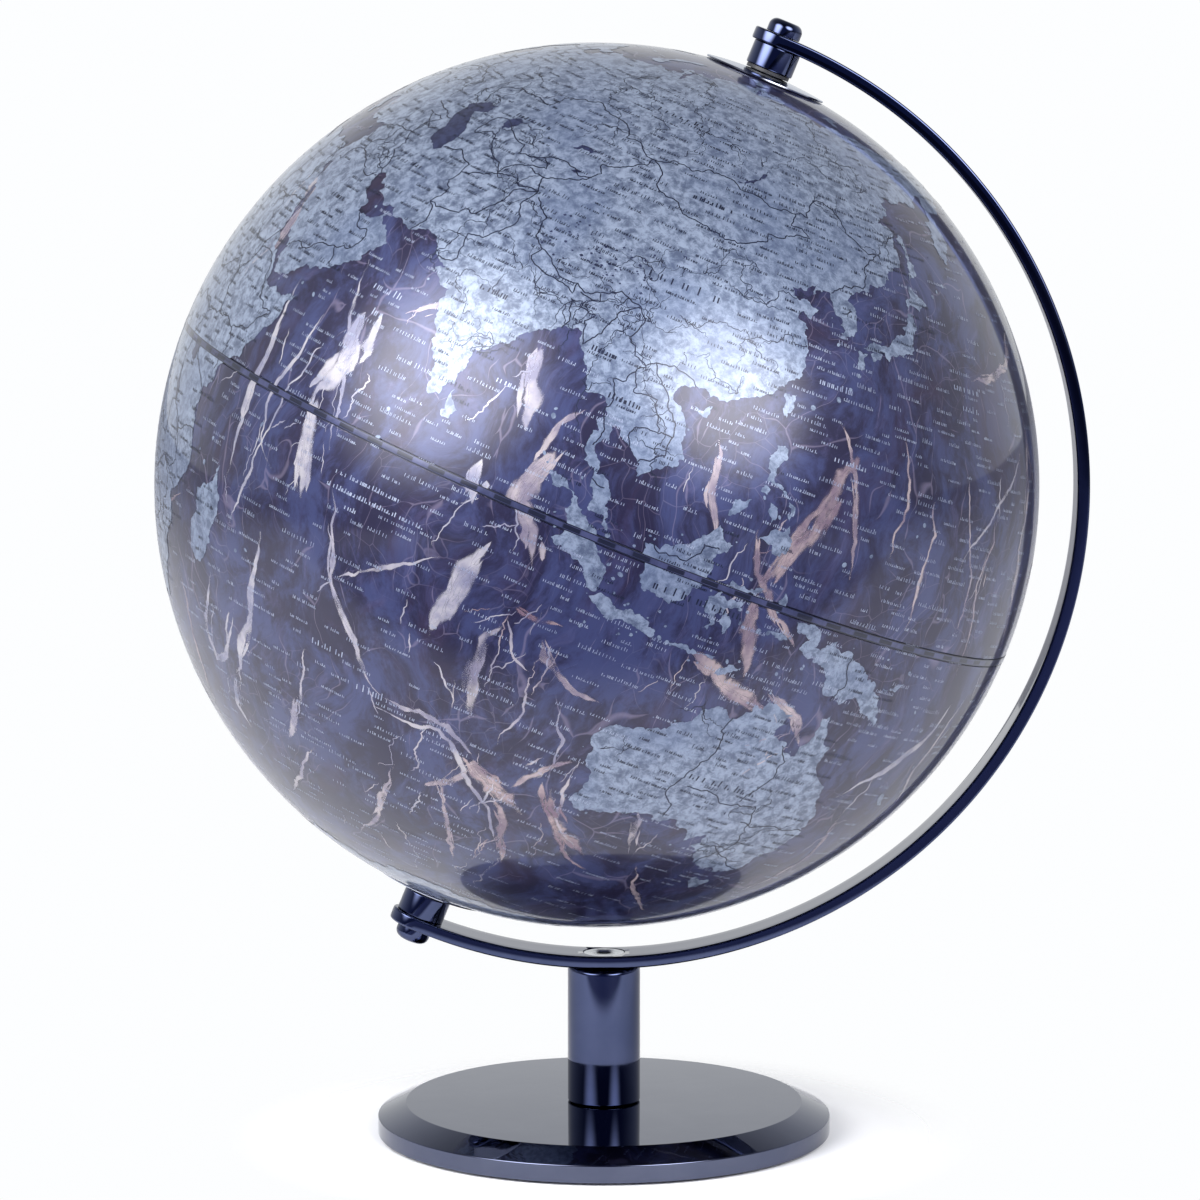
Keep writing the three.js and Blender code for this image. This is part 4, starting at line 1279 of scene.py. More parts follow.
# %% Ragged lines and filled outlines


def ragged(points, closed, share, shortest, seed):
    """Splits edges down to the shortest length, pushing each new point sideways."""
    chance = random.Random(seed)
    points = [tuple(p) for p in points]
    if closed:
        points.append(points[0])
    while True:
        finer, split = [points[0]], False
        for (x0, y0), (x1, y1) in zip(points, points[1:]):
            squeeze = max(0.15, math.cos(math.radians((y0 + y1) / 2)))
            run, rise = (x1 - x0) * squeeze, y1 - y0
            if math.hypot(run, rise) > shortest:
                push = chance.gauss(0, share)
                finer.append(((x0 + x1) / 2 - rise * push / squeeze, (y0 + y1) / 2 + run * push))
                split = True
            finer.append((x1, y1))
        points = finer
        if not split:
            break
    return np.array(points[:-1] if closed else points)


def filled(outline, spacing):
    """Cuts an outline into small triangles; returns places in degrees, and the faces."""
    west, south = outline.min(0)
    east, north = outline.max(0)
    inside = []
    for row in np.arange(south + spacing / 2, north, spacing):
        step = spacing / max(0.12, math.cos(math.radians(row)))
        inside += [(x, row) for x in np.arange(west + step / 2, east, step)]
    points = [Vector(p) for p in outline.tolist() + inside]
    rim = list(range(len(outline)))
    flat, _, faces, _, _, _ = geometry.delaunay_2d_cdt(points, [], [rim], 1, 1e-6)
    return np.array([tuple(p) for p in flat]), faces


def patches(name, outlines, lift, material, share, shortest, spacing):
    """Makes one print layer from many outlines."""
    all_points, all_faces = [], []
    for number, outline in enumerate(outlines):
        points, faces = filled(ragged(outline, True, share, shortest, number + 7), spacing)
        first = sum(len(p) for p in all_points)
        all_points.append(points)
        all_faces += [tuple(first + i for i in face) for face in faces]
    flat = np.concatenate(all_points)
    raised = on_ball(flat[:, 0], flat[:, 1], np.full(len(flat), lift))
    made = layer(name, raised, all_faces, material)
    print(name, "faces:", len(all_faces))
    return made


# %% [markdown]
# ## Land, islets and lakes
# Each small isle is an outline of seven points. Islets are strewn along the coasts that have many,
# and ponds over the high plateau and the far north.

# %% Land and lakes
LAND_LIFT = 0.075 * MM
LAKE_LIFT = 0.1 * MM
ISLETS = 230
ISLET_COASTS = (
    "asia and europe", "asia and europe", "asia and europe", "africa", "australia", "new guinea",
    "borneo", "sumatra", "java", "sulawesi", "baffin", "antarctica",
)
chance = random.Random(41)
land_outlines = [places(text) for text in LAND.values()]
isles = []
for east, north in SMALL_ISLES:
    size = chance.uniform(0.16, 0.42)
    stretch = chance.uniform(0.5, 1.0)
    turn = chance.uniform(0, math.pi)
    shore = []
    for k in range(7):
        t = 2 * math.pi * k / 7
        x, y = size * math.cos(t), size * stretch * math.sin(t)
        over = x * math.cos(turn) - y * math.sin(turn)
        rise = x * math.sin(turn) + y * math.cos(turn)
        shore.append((east + over, north + rise))
    isles.append(shore)
for _ in range(ISLETS):
    coast = places(LAND[chance.choice(ISLET_COASTS)])
    east, north = coast[chance.randrange(len(coast))]
    east += chance.gauss(0, 1.6)
    north += chance.gauss(0, 1.1)
    size = chance.uniform(0.07, 0.24)
    shore = []
    for k in range(6):
        t = 2 * math.pi * k / 6
        over = size * math.cos(t) * chance.uniform(0.6, 1.5)
        shore.append((east + over, north + size * math.sin(t)))
    isles.append(shore)
patches("land_print", land_outlines + isles, LAND_LIFT, land_ink, 0.15, 0.35, 1.6)
ponds = []


def add_ponds(count, east_range, north_range, size_range, blunt):
    """Scatters small lozenge ponds over a stretch of the map."""
    for _ in range(count):
        east, north = chance.uniform(*east_range), chance.uniform(*north_range)
        size = chance.uniform(*size_range)
        ponds.append([
            (east + size, north), (east, north + size * blunt), (east - size, north),
            (east, north - size * 0.6),
        ])


add_ponds(70, (80, 97), (29.5, 36), (0.1, 0.32), 0.7)
add_ponds(160, (25, 178), (50, 72), (0.08, 0.26), 0.6)
lake_outlines = [places(text) for text in LAKES.values()] + ponds
patches("lake_print", lake_outlines, LAKE_LIFT, lake_ink, 0.14, 0.3, 1.6)

# %% [markdown]
# ## Borders and rivers
# The line work is a hair under half a millimetre wide. Each line is a flat ribbon laid along
# the ball. Rivers wander more than borders, and taper towards their source.

# %% Line places
BORDERS = """
49,46.5 47.5,48 47,49.5 50.5,51.5 54,51 58,51 61,50.8 61.5,53 65,54.5 69,55.2 71,54.2 73.5,53.8
  77,53.5 80,51 83.5,51 87.3,49.2
87.3,49.2 91,50.5 95,50 98,51.5 102,51.4 106,50.3 111,49.4 116,49.8 119,50 120,53 125,53
  127.5,50 130.5,48.8 134.5,48.3 131,45 131,42.8 130.6,42.4
87.8,49.2 90.5,47 91,45.2 95.5,44.2 97,42.8 101.5,42.5 105,41.6 109,42.5 112,43.8 111.8,45
  115,45.4 117,46.6 119.8,46.8 118,47.9 115.8,47.8 116.5,49.8
87.3,49.2 85.5,47.2 82.5,45.4 80.3,45 80.2,42.2 76.5,40.4 73.8,39.5 74.8,37.3
56,41.3 56,45 58.5,45.5 61,44.2 66,42.9 66.5,41.2 69,41.5 71,42.3 73.5,43 80.2,42.3
56,41.3 58.5,42.7 60.2,41.8 62,40 64.5,38.9 66.6,37.4 68.2,39.5 70.5,40.5 73,40.8 71,42.2
70.5,40 73.8,39.5
53.9,37.3 57.2,38.2 61.2,36.6 61.1,35.3 64,36.2 67,37.3 70.2,37.8 71.5,36.8 74.8,37.3 71.2,36
  71,34 69.5,32 66.5,30 62.5,29.4 60.9,29.8
61.2,35.3 60.6,33.5 61.8,31 60.9,29.8 62.8,27.2 61.6,25.2
74.8,37 73.8,34.5 75.3,32.3 73.9,30 70,28 71,24.5 68.2,23.7
75.5,36.5 78.8,34.3 79,31.5 81,30.2 84,28.7 88.1,27.9 89,27.4 91.5,27.9 94,29.2 97.3,28.3
81,30.2 80.2,28.8 84,27.3 88.1,26.4 88.1,27.9
89,27 90,26.8 92,26.9 91.6,27.8
89,21.8 88.8,24.2 88.2,25.8 89.8,26 89.8,25.2 92.3,25 91.3,23.8 92.4,21
97.3,28.3 95.2,26.8 94.2,24.2 93.2,22.2 92.4,21
97.3,28.3 98.6,27 97.7,24.2 99.2,22.2 101,21.6 102.1,22.4 104.8,22.8 106.6,22.4 108,21.5
100.1,20.4 97.8,18.5 98.9,16.2 98.3,14.5 99.3,12.5 98.7,10.2
101.2,21.5 100.1,20.4 100.8,18 102.1,18.2 104,18.2 104.8,16.4 105.5,14.5 102.8,14.2 102.3,13.3
  102.9,11.7
102.1,22.4 103,20.9 104.8,19.5 106.8,16.5 107.5,14.8 107.4,12.3 105.9,11 104.5,10.4
105.5,14.4 107.5,14.6
100.2,6.5 102,6
109.6,2 111,1.2 114.5,1.5 115.8,4.2 117.8,4.2
141,-2.6 141,-9.1
124.4,40 126.8,41.8 129.5,42.4 130.7,42.3
126.6,37.8 128.4,38.5
44.8,39.7 44.5,37 46.2,35.5 45.5,33.9 47.8,31 48.5,30
36,36 38,36.8 42.3,37.1 44.6,37.2 44.8,39.7 43,41.3 41.5,41.5
41.2,37 41,34.4 38.8,33.3 39.2,32 42,31 44.8,29.2 46.5,29 47.5,30
39,32 37,31.5 36,29.2 35,29.5
36,35 36.5,33.5 38.8,33.3
42.8,16.4 44.3,17.4 47,17 49,18.6 52,19 53.1,16.7
52,19 55,20 55.7,22 55.2,22.7 52.6,22.9 51.5,24.3
40,43.5 43,42.7 46.5,41.8 48.5,41.8
43.5,41.2 45,41.3 46.5,41 45,39.8 46.5,38.9 48,39.5
25,31.6 25,22 36.9,22
25,22 24,20 24,15.7 22.5,14 23,11 24,10 28,9.8 32,12 34,10.5 34,8 36,4.5 30.9,3.6
36.5,14.3 34.2,10.6 34,8
36.5,14.3 38.5,17.8
36.5,14.3 40,14.5 42.3,12.5 43,11 44,9 48,8 45,5 42,4.2 41,3.9 36,4.5
41,3.9 41,-1.7
34,-1 37.7,-3.5 39.2,-4.7
30.9,3.6 29.6,-0.8 29.2,-3 29.3,-6 30.8,-8.3 33,-9.5 34.5,-11.5 40.4,-10.5
34.5,-11.5 35.8,-15 34.3,-16 30.3,-15.6 33,-17.5 32.7,-20 31.3,-22.3 31.9,-25.8 32.8,-26.8
31.3,-22.3 29,-22.2 27,-23.8 20,-24.8 20,-28.4 16.5,-28.6
29,-22.2 25.3,-17.8 28.8,-16 30.3,-15.6
20,-24.8 20,-22 21,-18.3 25.3,-17.8 24,-13 24,-11 22,-11 20,-7.3 16.8,-6 12.3,-5.8
24,-11 28.5,-13.3 28.8,-8.5 30.8,-8.3
11.8,-17.3 21,-17.5
24,20 15.9,23.3 11.8,23.6 9.8,26 9.4,30 8.3,34.6
15.9,23.3 15,20 13.6,14 10,13.3 4,13.5 2.8,9 2.7,6.3
11.8,23.6 4,19.3 -4.8,25 -8.7,27.6
13.6,13 11,7 8.6,4.8
15,12 15,7.5 16.2,2.2 18.6,4 23,4.3 27.4,5.1 30.9,3.6
14.3,53.9 14.8,51 12.5,50.3 13.8,48.7 16.9,48.5 22.5,49 24,50.8 23.5,54 28,56 27.5,59.2
30,60.5 31.5,63 29,67 30.8,69.6
24,66 21,68.5 18,68.5 12,64 11.5,59
31.8,52.2 35,51.3 40,49.5 38.5,47.3
24,50.8 30.5,51.4 32,52.2 31,54.7 28,56
28.2,45.5 26,48 22.5,48 19,46 16,46.6 13.5,45.7
22.9,46 20.5,44.5 22.5,43 26,41.8
7.5,43.8 7,46 10,46.8 16,47
7.6,47.6 8,49 6,50 2.5,51
-1.8,43.3 3.2,42.4
-7,41.9 -7.4,37.2
-123,49 -95,49 -89,48 -83,46 -82.5,42 -79,43.2 -75,45 -71,45.2 -67.5,47.2 -67,45
-117,32.5 -111,31.3 -106.5,31.8 -103,29 -99.5,27.5 -97.3,26
-141,69.7 -141,60.3 -135,59 -130,55
-60,5 -64,2 -67,1.2 -70,-4.3 -74,-7.5 -70.5,-11 -65.3,-10 -60,-15 -58,-20 -58,-22.5 -54.3,-25
  -57.6,-30.2 -53.5,-33.7
-70,-4.3 -75,-0.2 -79,1
-67,1.2 -67.5,6 -72,7.5 -72,11.5
-69.5,-11 -69,-17.5 -68.5,-22 -70,-30 -71.5,-40 -72,-50 -68.5,-52.3
129,-14.9 129,-31.7
138,-16.5 138,-26
141,-26 141,-38
129,-26 141,-26
141,-29 150,-28.6 153.5,-28.2
141,-34 146,-36 149.9,-37.5
"""
RIVERS = """
69,66.5 66,64 69,61 76,61 84,56.5 83,52 87,50
69,61 68,58.5 73.5,55 77,52 84,48
83,71.5 87,67 90,61 93,57 92,52
93,58 100,58 104,52
127,72.5 124,68 129,63 122,60.5 115,60 108,56
129,63 135,62 134,58.5
141,53 138,51 135,48.5 130.5,48.8 126,52 120,53.3
118.8,37.7 114,35 110.5,34.8 110.8,40 107,40.8 104,36 101,35.5 97,35
121.5,31.6 117,30.7 113,29.6 108,30.2 104.5,28.7 102,26.5 99.3,27 98,31 94,34.5
113.3,22.5 110,23.5 105,25
106.5,9.8 105.8,12.5 104.7,16.5 101.5,19.8 100,22.5 98.5,27 96,32
95.2,16 95,20 96.5,24.5 97.5,27.5
90.5,23 90,25.8 95,28 91,29.4 84,29.8
89,22.5 88,24.8 83,25.5 80,27 78.3,30
67.5,24.3 68.5,27.5 71,31 72.5,34 75,35.5 80,32
72.8,21.7 78,23
82,16.7 77,19
80.8,15.9 76,17
48,30.5 46,32.5 43,36 40,38
46.5,31 42,34 38.5,36.5 39,39
59,43.5 62,40 66.5,37.4 71,37.5
61,45.8 67,43.5 70,41
51.8,47 51.5,51 58,51.5
47.8,46 44.5,48.7 46,51.5 49,55 44,56.3 37,57
39,47.2 41,49.5 39,52
32,46.6 34.5,48 31,51 32,54
31.2,31.2 32.5,26 31,21.5 32.8,18 32.5,15.6 31,9.5 31.5,4
32.5,15.6 35.3,11.8
12.4,-6 16,-3 18,1 23.5,1.5 25.5,-3
36,-18.8 30.5,-15.6 25.5,-17.8 22,-14
16.5,-28.6 24,-29.5
6,4.5 5,9 0,14 -5,13
139,-35.3 142,-34 147,-36
142,-34 145.5,-30.5 149,-28.5
138,-28 143,-25
115,-25 118,-24
125,-15.5 128,-18
-50,0 -60,-3 -70,-4 -74,-5
-89.3,29.5 -91,33 -90,38 -93,45
-90,38.7 -96,41 -104,48
-134,69 -125,64 -117,61
"""


def lines_of(text):
    """One array of places for each line of text; an indented line goes on from the one above."""
    return [places(line) for line in text.replace("\n  ", " ").strip().splitlines()]


def ribbons(name, lines, widths, lift, material, marks=None, columns=(-1, 1)):
    """Flat ribbons along lines on the ball. Each line has one half width for every point."""
    vertices, faces, values = [], [], {label: [] for label in (marks or {})}
    for number, (line, half) in enumerate(zip(lines, widths)):
        raise_by = lift[number] if hasattr(lift, "__len__") else lift
        path = on_ball(line[:, 0], line[:, 1], np.full(len(line), raise_by))
        out = (path - middle) / np.linalg.norm(path - middle, axis=1)[:, None]
        along = np.gradient(path, axis=0)
        if len(line) > 4:
            along[1:-1] = along[:-2] + along[1:-1] + along[2:]
        across = np.cross(along, out)
        across /= np.maximum(np.linalg.norm(across, axis=1), 1e-12)[:, None]
        first = len(vertices)
        for spot, sideways, width in zip(path, across, half):
            for column in columns:
                vertices.append(spot + sideways * (width * column))
        n = len(columns)
        for i in range(len(line) - 1):
            for c in range(n - 1):
                a = first + i * n + c
                faces.append((a, a + 1, a + 1 + n, a + n))
        for label in values:
            values[label].append(marks[label][number])
    joined = {label: np.concatenate(rows) for label, rows in values.items()}
    made = layer(name, vertices, faces, material, joined)
    print(name, "faces:", len(faces))
    return made


# %% [markdown]
# ## Printing the lines
# The lists are roughened like the coasts. Each river also gets short side streams, which start
# at its own points.

# %% Borders and rivers
LINE_LIFT = 0.115 * MM
fine_borders = [ragged(line, False, 0.1, 0.5, 300 + i) for i, line in enumerate(lines_of(BORDERS))]
border_widths = [np.full(len(line), 0.17 * MM) for line in fine_borders]
ribbons("border_print", fine_borders, border_widths, LINE_LIFT, dark_ink)
fine_rivers = [ragged(line, False, 0.2, 0.4, 500 + i) for i, line in enumerate(lines_of(RIVERS))]
for i, line in enumerate(lines_of(RIVERS)):
    for k in range(2 * len(line)):
        start_at = line[chance.randrange(len(line))]
        reach = (chance.gauss(0, 2.6), chance.gauss(0, 1.9))
        branch = [start_at, start_at + np.array(reach) * 0.5, start_at + np.array(reach)]
        fine_rivers.append(ragged(branch, False, 0.22, 0.4, 900 + 40 * i + k))
river_widths = [np.linspace(0.13, 0.05, len(line)) * MM for line in fine_rivers]
ribbons("river_print", fine_rivers, river_widths, LINE_LIFT + 0.005 * MM, dark_ink)

# %% [markdown]
# ## Mineral veins
# The marble's big pale veins and stains are listed one by one, because they give this ball its
# look. Each is a stroke with a half width in millimetres and a warmth, from cool lilac (0) to
# rose (1). Along a stroke the width swells and pinches, and across it the strength falls off.
# The vein ink turns that strength into ragged edges and dark slits.

# %% Vein strokes
VEINS = """
3.1 0.0 | 63.5,13.5 64.5,8.5 63.5,4.5 62,0.5
2.9 0.05 | 63,2 63.5,-2.5 64.5,-6 65.5,-10.5
0.7 0.0 | 59,19.5 60.5,15.5 63,10 66.5,1.5 67.5,-3.5
0.9 0.1 | 69,-7 72,-13.5 73,-18.5 75.5,-21.5 78.5,-24.5 81,-28.5 84.5,-30.5
0.9 0.2 | 84.5,-30.5 90,-30 94.5,-30.5 99,-33
0.6 0.1 | 73.5,-18 79,-14.5 83,-12 86.5,-9.5
2.0 0.0 | 87,3.5 87,1 88,-2
2.5 0.15 | 88,18.5 88.5,14.5 90.5,8.5
2.8 0.45 | 95,8.5 93.5,4 93,0.5 96,-2 97.5,-6
3.0 0.05 | 92,-5.5 90,-11 89.5,-14.5 88.5,-19.5
1.8 0.25 | 97,-14 95,-17 95.5,-22 97,-29
1.1 0.6 | 101.5,-13.5 105.5,-17.5 108.5,-19 112.5,-19
1.4 0.0 | 60,-17 59.5,-23.5 59,-30 53.5,-39.5
0.9 0.0 | 53.5,-39.5 51,-44.5 53.5,-47.5
1.3 0.2 | 69,-36.5 68,-41 65.5,-45
1.1 0.0 | 50,14 51.5,3 51.5,-5.5 51,-13.5
0.7 0.0 | 57.5,11 56.5,4 55,-2 56,-6 59.5,-9
1.0 0.0 | 49.5,-26 46.5,-35 48,-38.5 51.5,-37 55.5,-29
1.2 0.45 | 96.5,14 94,11 93,6
1.0 0.5 | 69.5,15.5 73,18.5 74,21
0.5 0.0 | 61,9 57.5,-1.5 56,-10 53,-20
0.5 0.2 | 97,-13 99,-17 102.5,-18.5
0.45 0.2 | 102.5,-18.5 103.5,-24 102,-30
0.45 0.1 | 107.5,-21 110,-26 109,-33
0.9 1.0 | 97.5,-11.5 100,-12 104,-11.5
0.7 0.9 | 98.5,-33.5 103,-35 106.5,-36
0.5 0.1 | 70.5,-29 70,-35 68,-42
3.4 0.8 | 98,-34 101.5,-36 105.5,-37.5 110,-39.5
2.2 0.9 | 111.5,-33 113.5,-37 117.5,-40.5 123.5,-43
0.8 0.1 | 82,-32 88,-32.5 93.5,-31.5 97,-34 102,-39 106,-43 109.5,-48
0.7 0.3 | 113.5,-28.5 113.5,-33.5 115,-38 120.5,-42 125.5,-41.5
1.2 0.6 | 93.5,-41.5 98,-38 100,-34.5
1.0 0.3 | 125,-32 127.5,-36 129.5,-40
2.8 0.85 | 133.5,21.5 129.5,13 126,5.5 124.5,0.5
2.2 0.8 | 124.5,1 125,-3 127.5,-9.5
2.6 0.75 | 119,-8.5 124,-10 129.5,-12 134.5,-13.5
1.5 0.6 | 132,-10 137.5,-12.5 140.5,-16
1.3 0.8 | 121.5,8 123.5,3 127.5,-1 133,-4.5
0.9 0.7 | 128.5,24 133.5,15 136,6
0.6 0.6 | 147,19.5 147.5,9 148.5,0.5
0.5 0.5 | 154,24 157,12 158.5,2
0.5 0.6 | 162,21 160,10 163,-2
0.6 0.7 | 139.5,26 142,17 141,9
1.0 0.9 | 111.5,-35 115,-39 119.5,-43.5 127,-46
1.3 0.8 | 101.5,-37 108,-42.5 112,-51
0.9 0.6 | 95,-39 99,-46 103,-55
1.1 0.7 | 113,-28 109.5,-31 106,-36.5
1.0 0.6 | 117.5,4 114.5,10 113,16.5
0.9 0.4 | 88,-40 86,-50 80,-58
0.7 0.2 | 72,-44 66,-52 58,-58
0.8 0.7 | 133,-42 140,-48 150,-52
0.9 0.6 | 158,-24 163,-33 160,-42
1.0 0.4 | 175,30 172,15 176,2
0.8 0.3 | 170,-4 168,-16 174,-28
"""
strokes = []
for row in VEINS.strip().splitlines():
    head, line = row.split("|")
    half, warmth = [float(v) for v in head.split()]
    strokes.append((half, warmth, places(line), 0.06))
FAR_VEINS = 90
THIN_CRACKS = 200
wander = random.Random(77)
for _ in range(FAR_VEINS):
    east, north = wander.uniform(165, 405), wander.uniform(-58, 60)
    heading = wander.gauss(-0.25, 0.3)
    reach = wander.uniform(5, 26)
    line = [(east, north)]
    for _ in range(3):
        heading += wander.gauss(0, 0.25)
        last_east, last_north = line[-1]
        step = reach / 3
        line.append((last_east + step * math.sin(heading), last_north - step * math.cos(heading)))
    strokes.append((wander.choice((0.4, 0.5, 0.7, 1.2, 2.2)), wander.random(), np.array(line), 0.06))
splinters = []
for half, warmth, line, share in strokes:
    if half < 0.9:
        continue
    path = ragged(line, False, 0.03, 1.0, len(splinters) + 4000)
    for _ in range(int(2 + 1.5 * half)):
        reach = wander.uniform(0.22, 0.6)
        begin = wander.uniform(-0.05, 1.02 - reach)
        first = max(0, int(begin * len(path)))
        last = min(len(path), max(first + 3, int((begin + reach) * len(path))))
        aside = math.degrees(wander.gauss(0, 0.75 * half) * MM / ball_radius)
        piece = path[first:last] + np.array((aside, wander.gauss(0, 0.3)))
        if len(piece) > 2:
            splinters.append((half * wander.uniform(0.25, 0.6), warmth, piece, 0.04))
strokes += splinters
for _ in range(THIN_CRACKS):
    base_half, warmth, line, _ = strokes[wander.randrange(len(strokes))]
    spot = line[wander.randrange(len(line))] + np.array((wander.gauss(0, 2.2), wander.gauss(0, 2.2)))
    heading = wander.gauss(-0.2, 0.45)
    reach = wander.uniform(2.0, 9.0)
    tip = spot + np.array((math.sin(heading), -math.cos(heading))) * reach
    thin = wander.uniform(0.14, 0.34)
    strokes.append((thin, warmth * wander.random(), np.array([spot, (spot + tip) / 2, tip]), 0.12))
vein_lines, vein_widths, strengths, warmths, lifts = [], [], [], [], []
COLUMNS = (-1.0, -0.66, -0.33, 0.0, 0.33, 0.66, 1.0)
VEIN_SPREAD = 1.9
VEIN_LIFT = 0.022
VEIN_LIFT_STEP = 0.00007
for number, (half, warmth, line, share) in enumerate(strokes):
    fine = ragged(line, False, share, 0.6 if half < 0.8 else 1.1, 2000 + number)
    t = np.linspace(0, 1, len(fine))
    swell = np.array([noise.noise(Vector((x * 5.0 + number * 3.1, number, 0))) for x in t])
    taper = np.sin(np.pi * np.clip(t, 0.02, 0.98)) ** 0.8
    width = half * MM * (0.85 + 0.6 * swell) * taper
    vein_lines.append(fine)
    vein_widths.append(np.maximum(width, 0.1 * MM) * VEIN_SPREAD)
    fall = 1.05 - 1.5 * np.abs(np.array(COLUMNS)) ** 1.3
    fade = np.clip(np.minimum(t, 1 - t) * 7, 0.3, 1)[:, None]
    strengths.append((fade * fall[None, :] * (1 - 0.3 * warmth)).ravel())
    warmths.append(np.full(len(fine) * len(COLUMNS), warmth))
    lifts.append((VEIN_LIFT + VEIN_LIFT_STEP * number) * MM)
ribbons(
    "vein_print", vein_lines, vein_widths, lifts, vein_ink,
    {"strength": strengths, "warmth": warmths}, COLUMNS,
)

# %% [markdown]
# ## Place names
# The real map is dense with tiny lettering. Nothing is written here: each name is a row of
# short upright ticks, about the height of small print, which reads as lettering from
# arm's length. Rows follow the parallels. Names on land are dark, and names at sea are pale.

# %% Names
land_shapes = [(outline, outline.min(0), outline.max(0)) for outline in land_outlines]


def on_land(east, north):
    """True if a place is inside one of the coasts."""
    for outline, low, high in land_shapes:
        if not (low[0] <= east <= high[0] and low[1] <= north <= high[1]):
            continue
        x0, y0 = outline[:, 0], outline[:, 1]
        x1, y1 = np.roll(x0, -1), np.roll(y0, -1)
        crosses = (y0 > north) != (y1 > north)
        if not crosses.any():
            continue
        at = (x1 - x0)[crosses] * (north - y0[crosses]) / (y1 - y0)[crosses] + x0[crosses]
        if (east < at).sum() % 2:
            return True
    return False


def name_row(east, north, letters, height, spread, bold, pick):
    """Ticks of one name, as short lines; east and north are the row's start, sizes in mm."""
    per_mm = math.degrees(MM / ball_radius)
    squeeze = math.cos(math.radians(north))
    ticks = []
    at = 0.0
    for _ in range(letters):
        if pick.random() < 0.07:
            at += height * 0.5
        wide = height * pick.choice((0.34, 0.45, 0.45, 0.6))
        kind = pick.random()
        rise = height * pick.choice((0.72, 0.72, 1.0))
        strokes_here = [((at, 0), (at, rise))]
        if kind < 0.6:
            lower = height * pick.choice((0.3, 0.7))
            strokes_here.append(((at + wide, 0), (at + wide, lower)))
        for start_at, stop_at in strokes_here:
            line = [
                (east + x * per_mm / squeeze, north + y * per_mm) for x, y in (start_at, stop_at)
            ]
            ticks.append((np.array(line), bold))
        at += wide + height * spread
    return ticks, at


BIG_NAMES = """
dark 7 2.0 0.7 | 80,58.6
dark 6 2.6 0.75 | 96.5,32.6
dark 6 2.0 0.3 | 76.5,22.2
dark 9 1.6 0.3 | 97.5,45.8
dark 10 1.4 0.3 | 58.5,46.6
dark 8 1.5 0.25 | 98.2,16.2
dark 7 1.5 0.25 | 93.8,20.8
dark 11 2.2 0.6 | 112,-3
dark 9 2.3 0.5 | 128.5,-24.8
dark 4 1.5 0.3 | 52,33
dark 6 1.6 0.3 | 43,24.5
dark 5 1.6 0.3 | 26,2
dark 6 1.6 0.3 | 28,15
pale 7 2.0 0.3 | 62.5,16.6
pale 3 2.0 0.3 | 64.5,13.6
pale 18 1.3 0.3 | 69.6,-5.6
pale 31 1.3 0.25 | 68.9,-7.4
pale 4 1.3 0.25 | 72.4,-9.2
pale 6 2.3 0.4 | 71.8,-27.6
pale 5 2.3 0.4 | 80,-31
pale 8 1.7 0.3 | 124.5,27.6
pale 7 1.6 0.3 | 84.6,12.6
pale 9 1.5 0.3 | 129,19
pale 7 1.9 0.4 | 150,33
pale 5 1.9 0.4 | 152,30.6
"""
pick = random.Random(5)
dark_ticks, pale_ticks, taken = [], [], []
for row in BIG_NAMES.strip().splitlines():
    head, spot = row.split("|")
    shade, letters, height, spread = head.split()
    east, north = places(spot)[0]
    ticks, run = name_row(east, north, int(letters), float(height), float(spread), 1.9, pick)
    (dark_ticks if shade == "dark" else pale_ticks).extend(ticks)
    taken.append((east + run * 0.23, north + 0.4, run * 0.26))
MOST_NAMES = 2200
MOST_TRIES = 16000
tried = 0
while len(taken) < MOST_NAMES and tried < MOST_TRIES:
    tried += 1
    east = pick.uniform(-180, 180) if pick.random() < 0.5 else pick.uniform(25, 180)
    north = math.degrees(math.asin(pick.uniform(-0.92, 0.97)))
    here = on_land(east, north) or on_land(east + 360, north)
    crowded = 92 < east < 160 and -14 < north < 36
    if not here and pick.random() < (0.15 if crowded else 0.62):
        continue
    letters = pick.randint(4, 12)
    height = pick.choice((0.85, 0.95, 0.95, 1.1, 1.3))
    squeeze = math.cos(math.radians(north))
    half = letters * height * 0.85 / 2 * 0.46 / squeeze
    if any(
        abs(n - north) < 0.85 and abs((e - east - half + 180) % 360 - 180) < half + h
        for e, n, h in taken
    ):
        continue
    ticks, run = name_row(east, north, letters, height, 0.3, 1.0, pick)
    (dark_ticks if here else pale_ticks).extend(ticks)
    taken.append((east + half, north, half))


def tick_layer(name, ticks, half_width, lift, material):
    """All ticks of one ink, as thin ribbons."""
    lines = [line for line, _ in ticks]
    widths = [np.full(2, half_width * bold) for _, bold in ticks]
    return ribbons(name, lines, widths, lift, material)


tick_layer("land_names", dark_ticks, 0.11 * MM, LINE_LIFT + 0.01 * MM, dark_ink)
tick_layer("sea_names", pale_ticks, 0.08 * MM, 0.1 * MM, pale_ink)
print("names:", len(taken))

# %% [markdown]
# ## Equator tape and polar caps
# A narrow printed tape lies in the groove over the seam. It has the sea's ink below, a fine
# dark line along each edge, and a dark dash every four and a half degrees, which all follow
# from its height and its angle round the axis. Each pole has a thin dished metal cap.

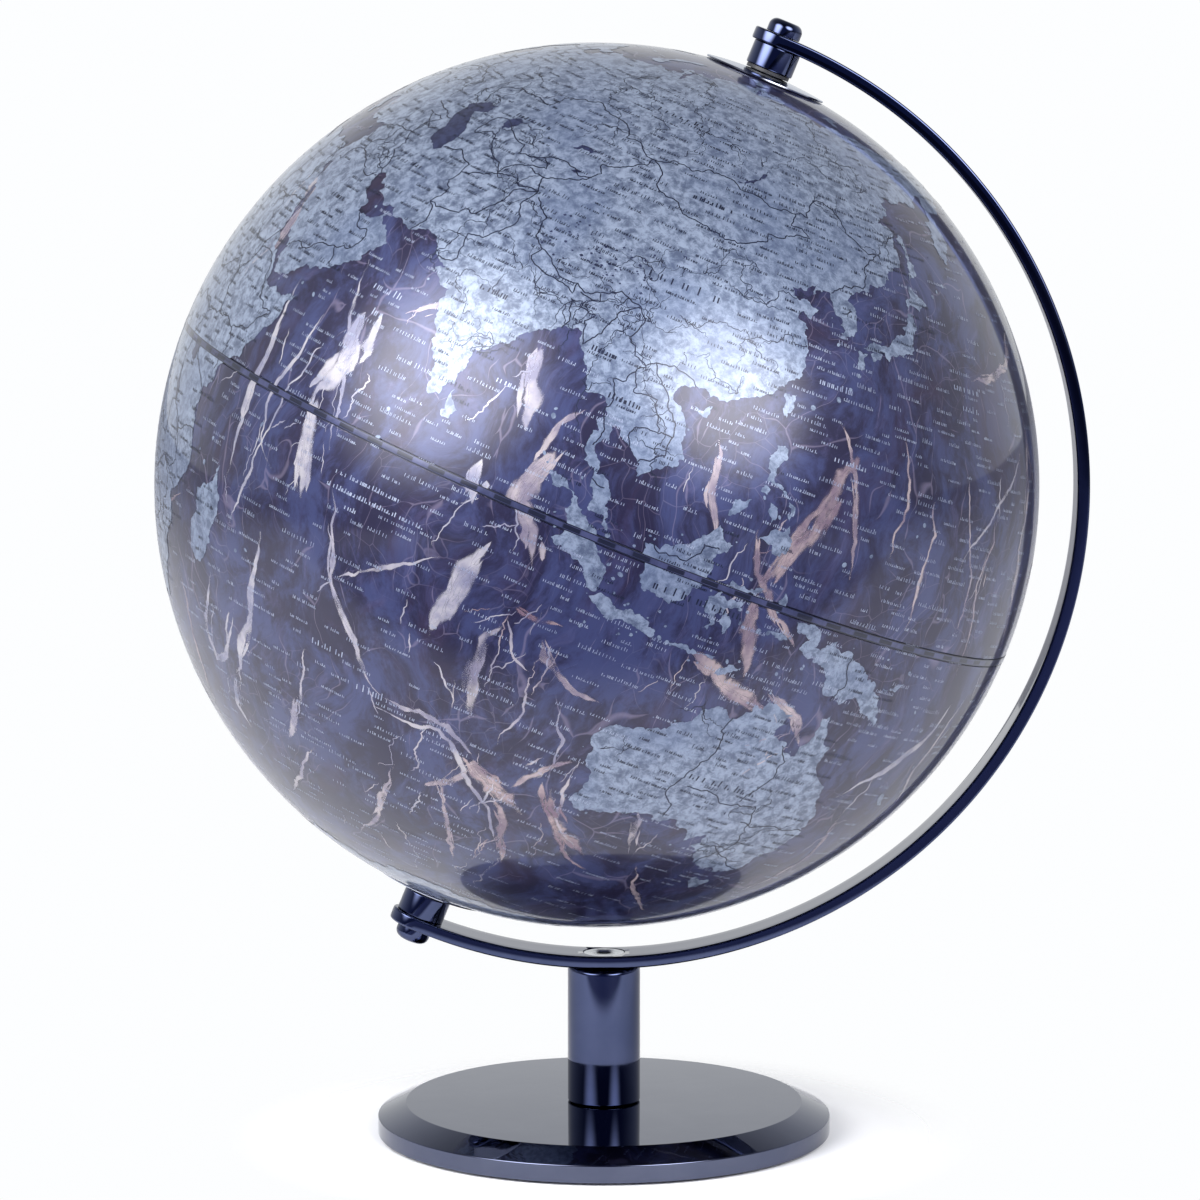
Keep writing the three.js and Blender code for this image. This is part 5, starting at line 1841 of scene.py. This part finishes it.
# %% Tape
DASHES = 80
tape_reach = on_axis("equator_tape")[0]
tape_half = 1.0 * MM
tape_inner = tape_reach - 0.45 * MM
tape_face = tape_reach + 0.05 * MM
tape = turned(
    "printed_tape", ring(tape_inner, tape_face, -tape_half, tape_half, 0.08 * MM), lean_over, sides=720,
)
tape_ink, tree, shader, place = lacquered("tape_ink")
split = add_node(tree, "ShaderNodeSeparateXYZ", {0: place})
from_middle = math_node(tree, "ABSOLUTE", split.outputs["Z"])
edge_line = ramp(tree, from_middle, 0.66, 0.74)
angle = math_node(tree, "ARCTAN2", split.outputs["Y"], split.outputs["X"])
turns = math_node(tree, "MULTIPLY", angle, DASHES / (2 * math.pi))
phase = math_node(tree, "FRACT", turns)
dash = math_node(tree, "MULTIPLY", ramp(tree, phase, 0.0, 0.05), ramp(tree, phase, 0.55, 0.5))
dash = math_node(tree, "MULTIPLY", dash, ramp(tree, from_middle, 0.62, 0.54))
ink_mask = math_node(tree, "MAXIMUM", edge_line, dash)
stone = use_group(tree, marble, {"Place": place})
ground = blend(tree, stone.outputs["Clouds"], colour(46, 50, 80), colour(66, 70, 104))
tree.links.new(blend(tree, ink_mask, ground, colour(18, 22, 42)), shader.inputs["Base Color"])
dress(tape, tape_ink, "globe", "equator_tape")

# %% [markdown]
# ## Ring and polar caps
# The ring is a plain band inside the ball, and holds the two halves in line. The caps are
# pressed from thin sheet and follow the ball's round a hair above it.

# %% Joining ring and polar caps
ring_reach, _, ring_high = on_axis("joining_ring")
ring_wall = 2.0 * MM
board_outline = ring(ring_reach - ring_wall, ring_reach, -ring_high, ring_high, 0.3 * MM)
board = turned("joining_band", board_outline, lean_over, sides=256)
dress(board, pressed_board, "globe", "joining_ring")
CAP_THICK = 0.5 * MM


def dish(radius, steps, out_to, in_to):
    """Points on the cap's round, from its rim in to the rod."""
    reaches = [out_to + (in_to - out_to) * i / steps for i in range(steps + 1)]
    return [(r, math.sqrt(radius**2 - r**2), 0) for r in reaches]


for pole, upright in pole_places.items():
    cap_reach = on_axis(f"{pole}_polar_cap")[0]
    inside = ball_radius + gap
    outside = inside + CAP_THICK

    rim = 0.12 * MM
    top_side = dish(outside, 16, cap_reach - rim, rod_hole)
    under_side = dish(inside, 16, cap_reach - rim, rod_hole)[::-1]
    edge = [(cap_reach, math.sqrt((inside + CAP_THICK / 2) ** 2 - cap_reach**2), 0)]
    cap = turned(f"{pole}_pole_disc", under_side + edge + top_side + under_side[:1], upright)
    dress(cap, cap_metal, "globe", f"{pole}_polar_cap")
print("pole discs:", round(2 * cap_reach / MM, 1), "mm across")
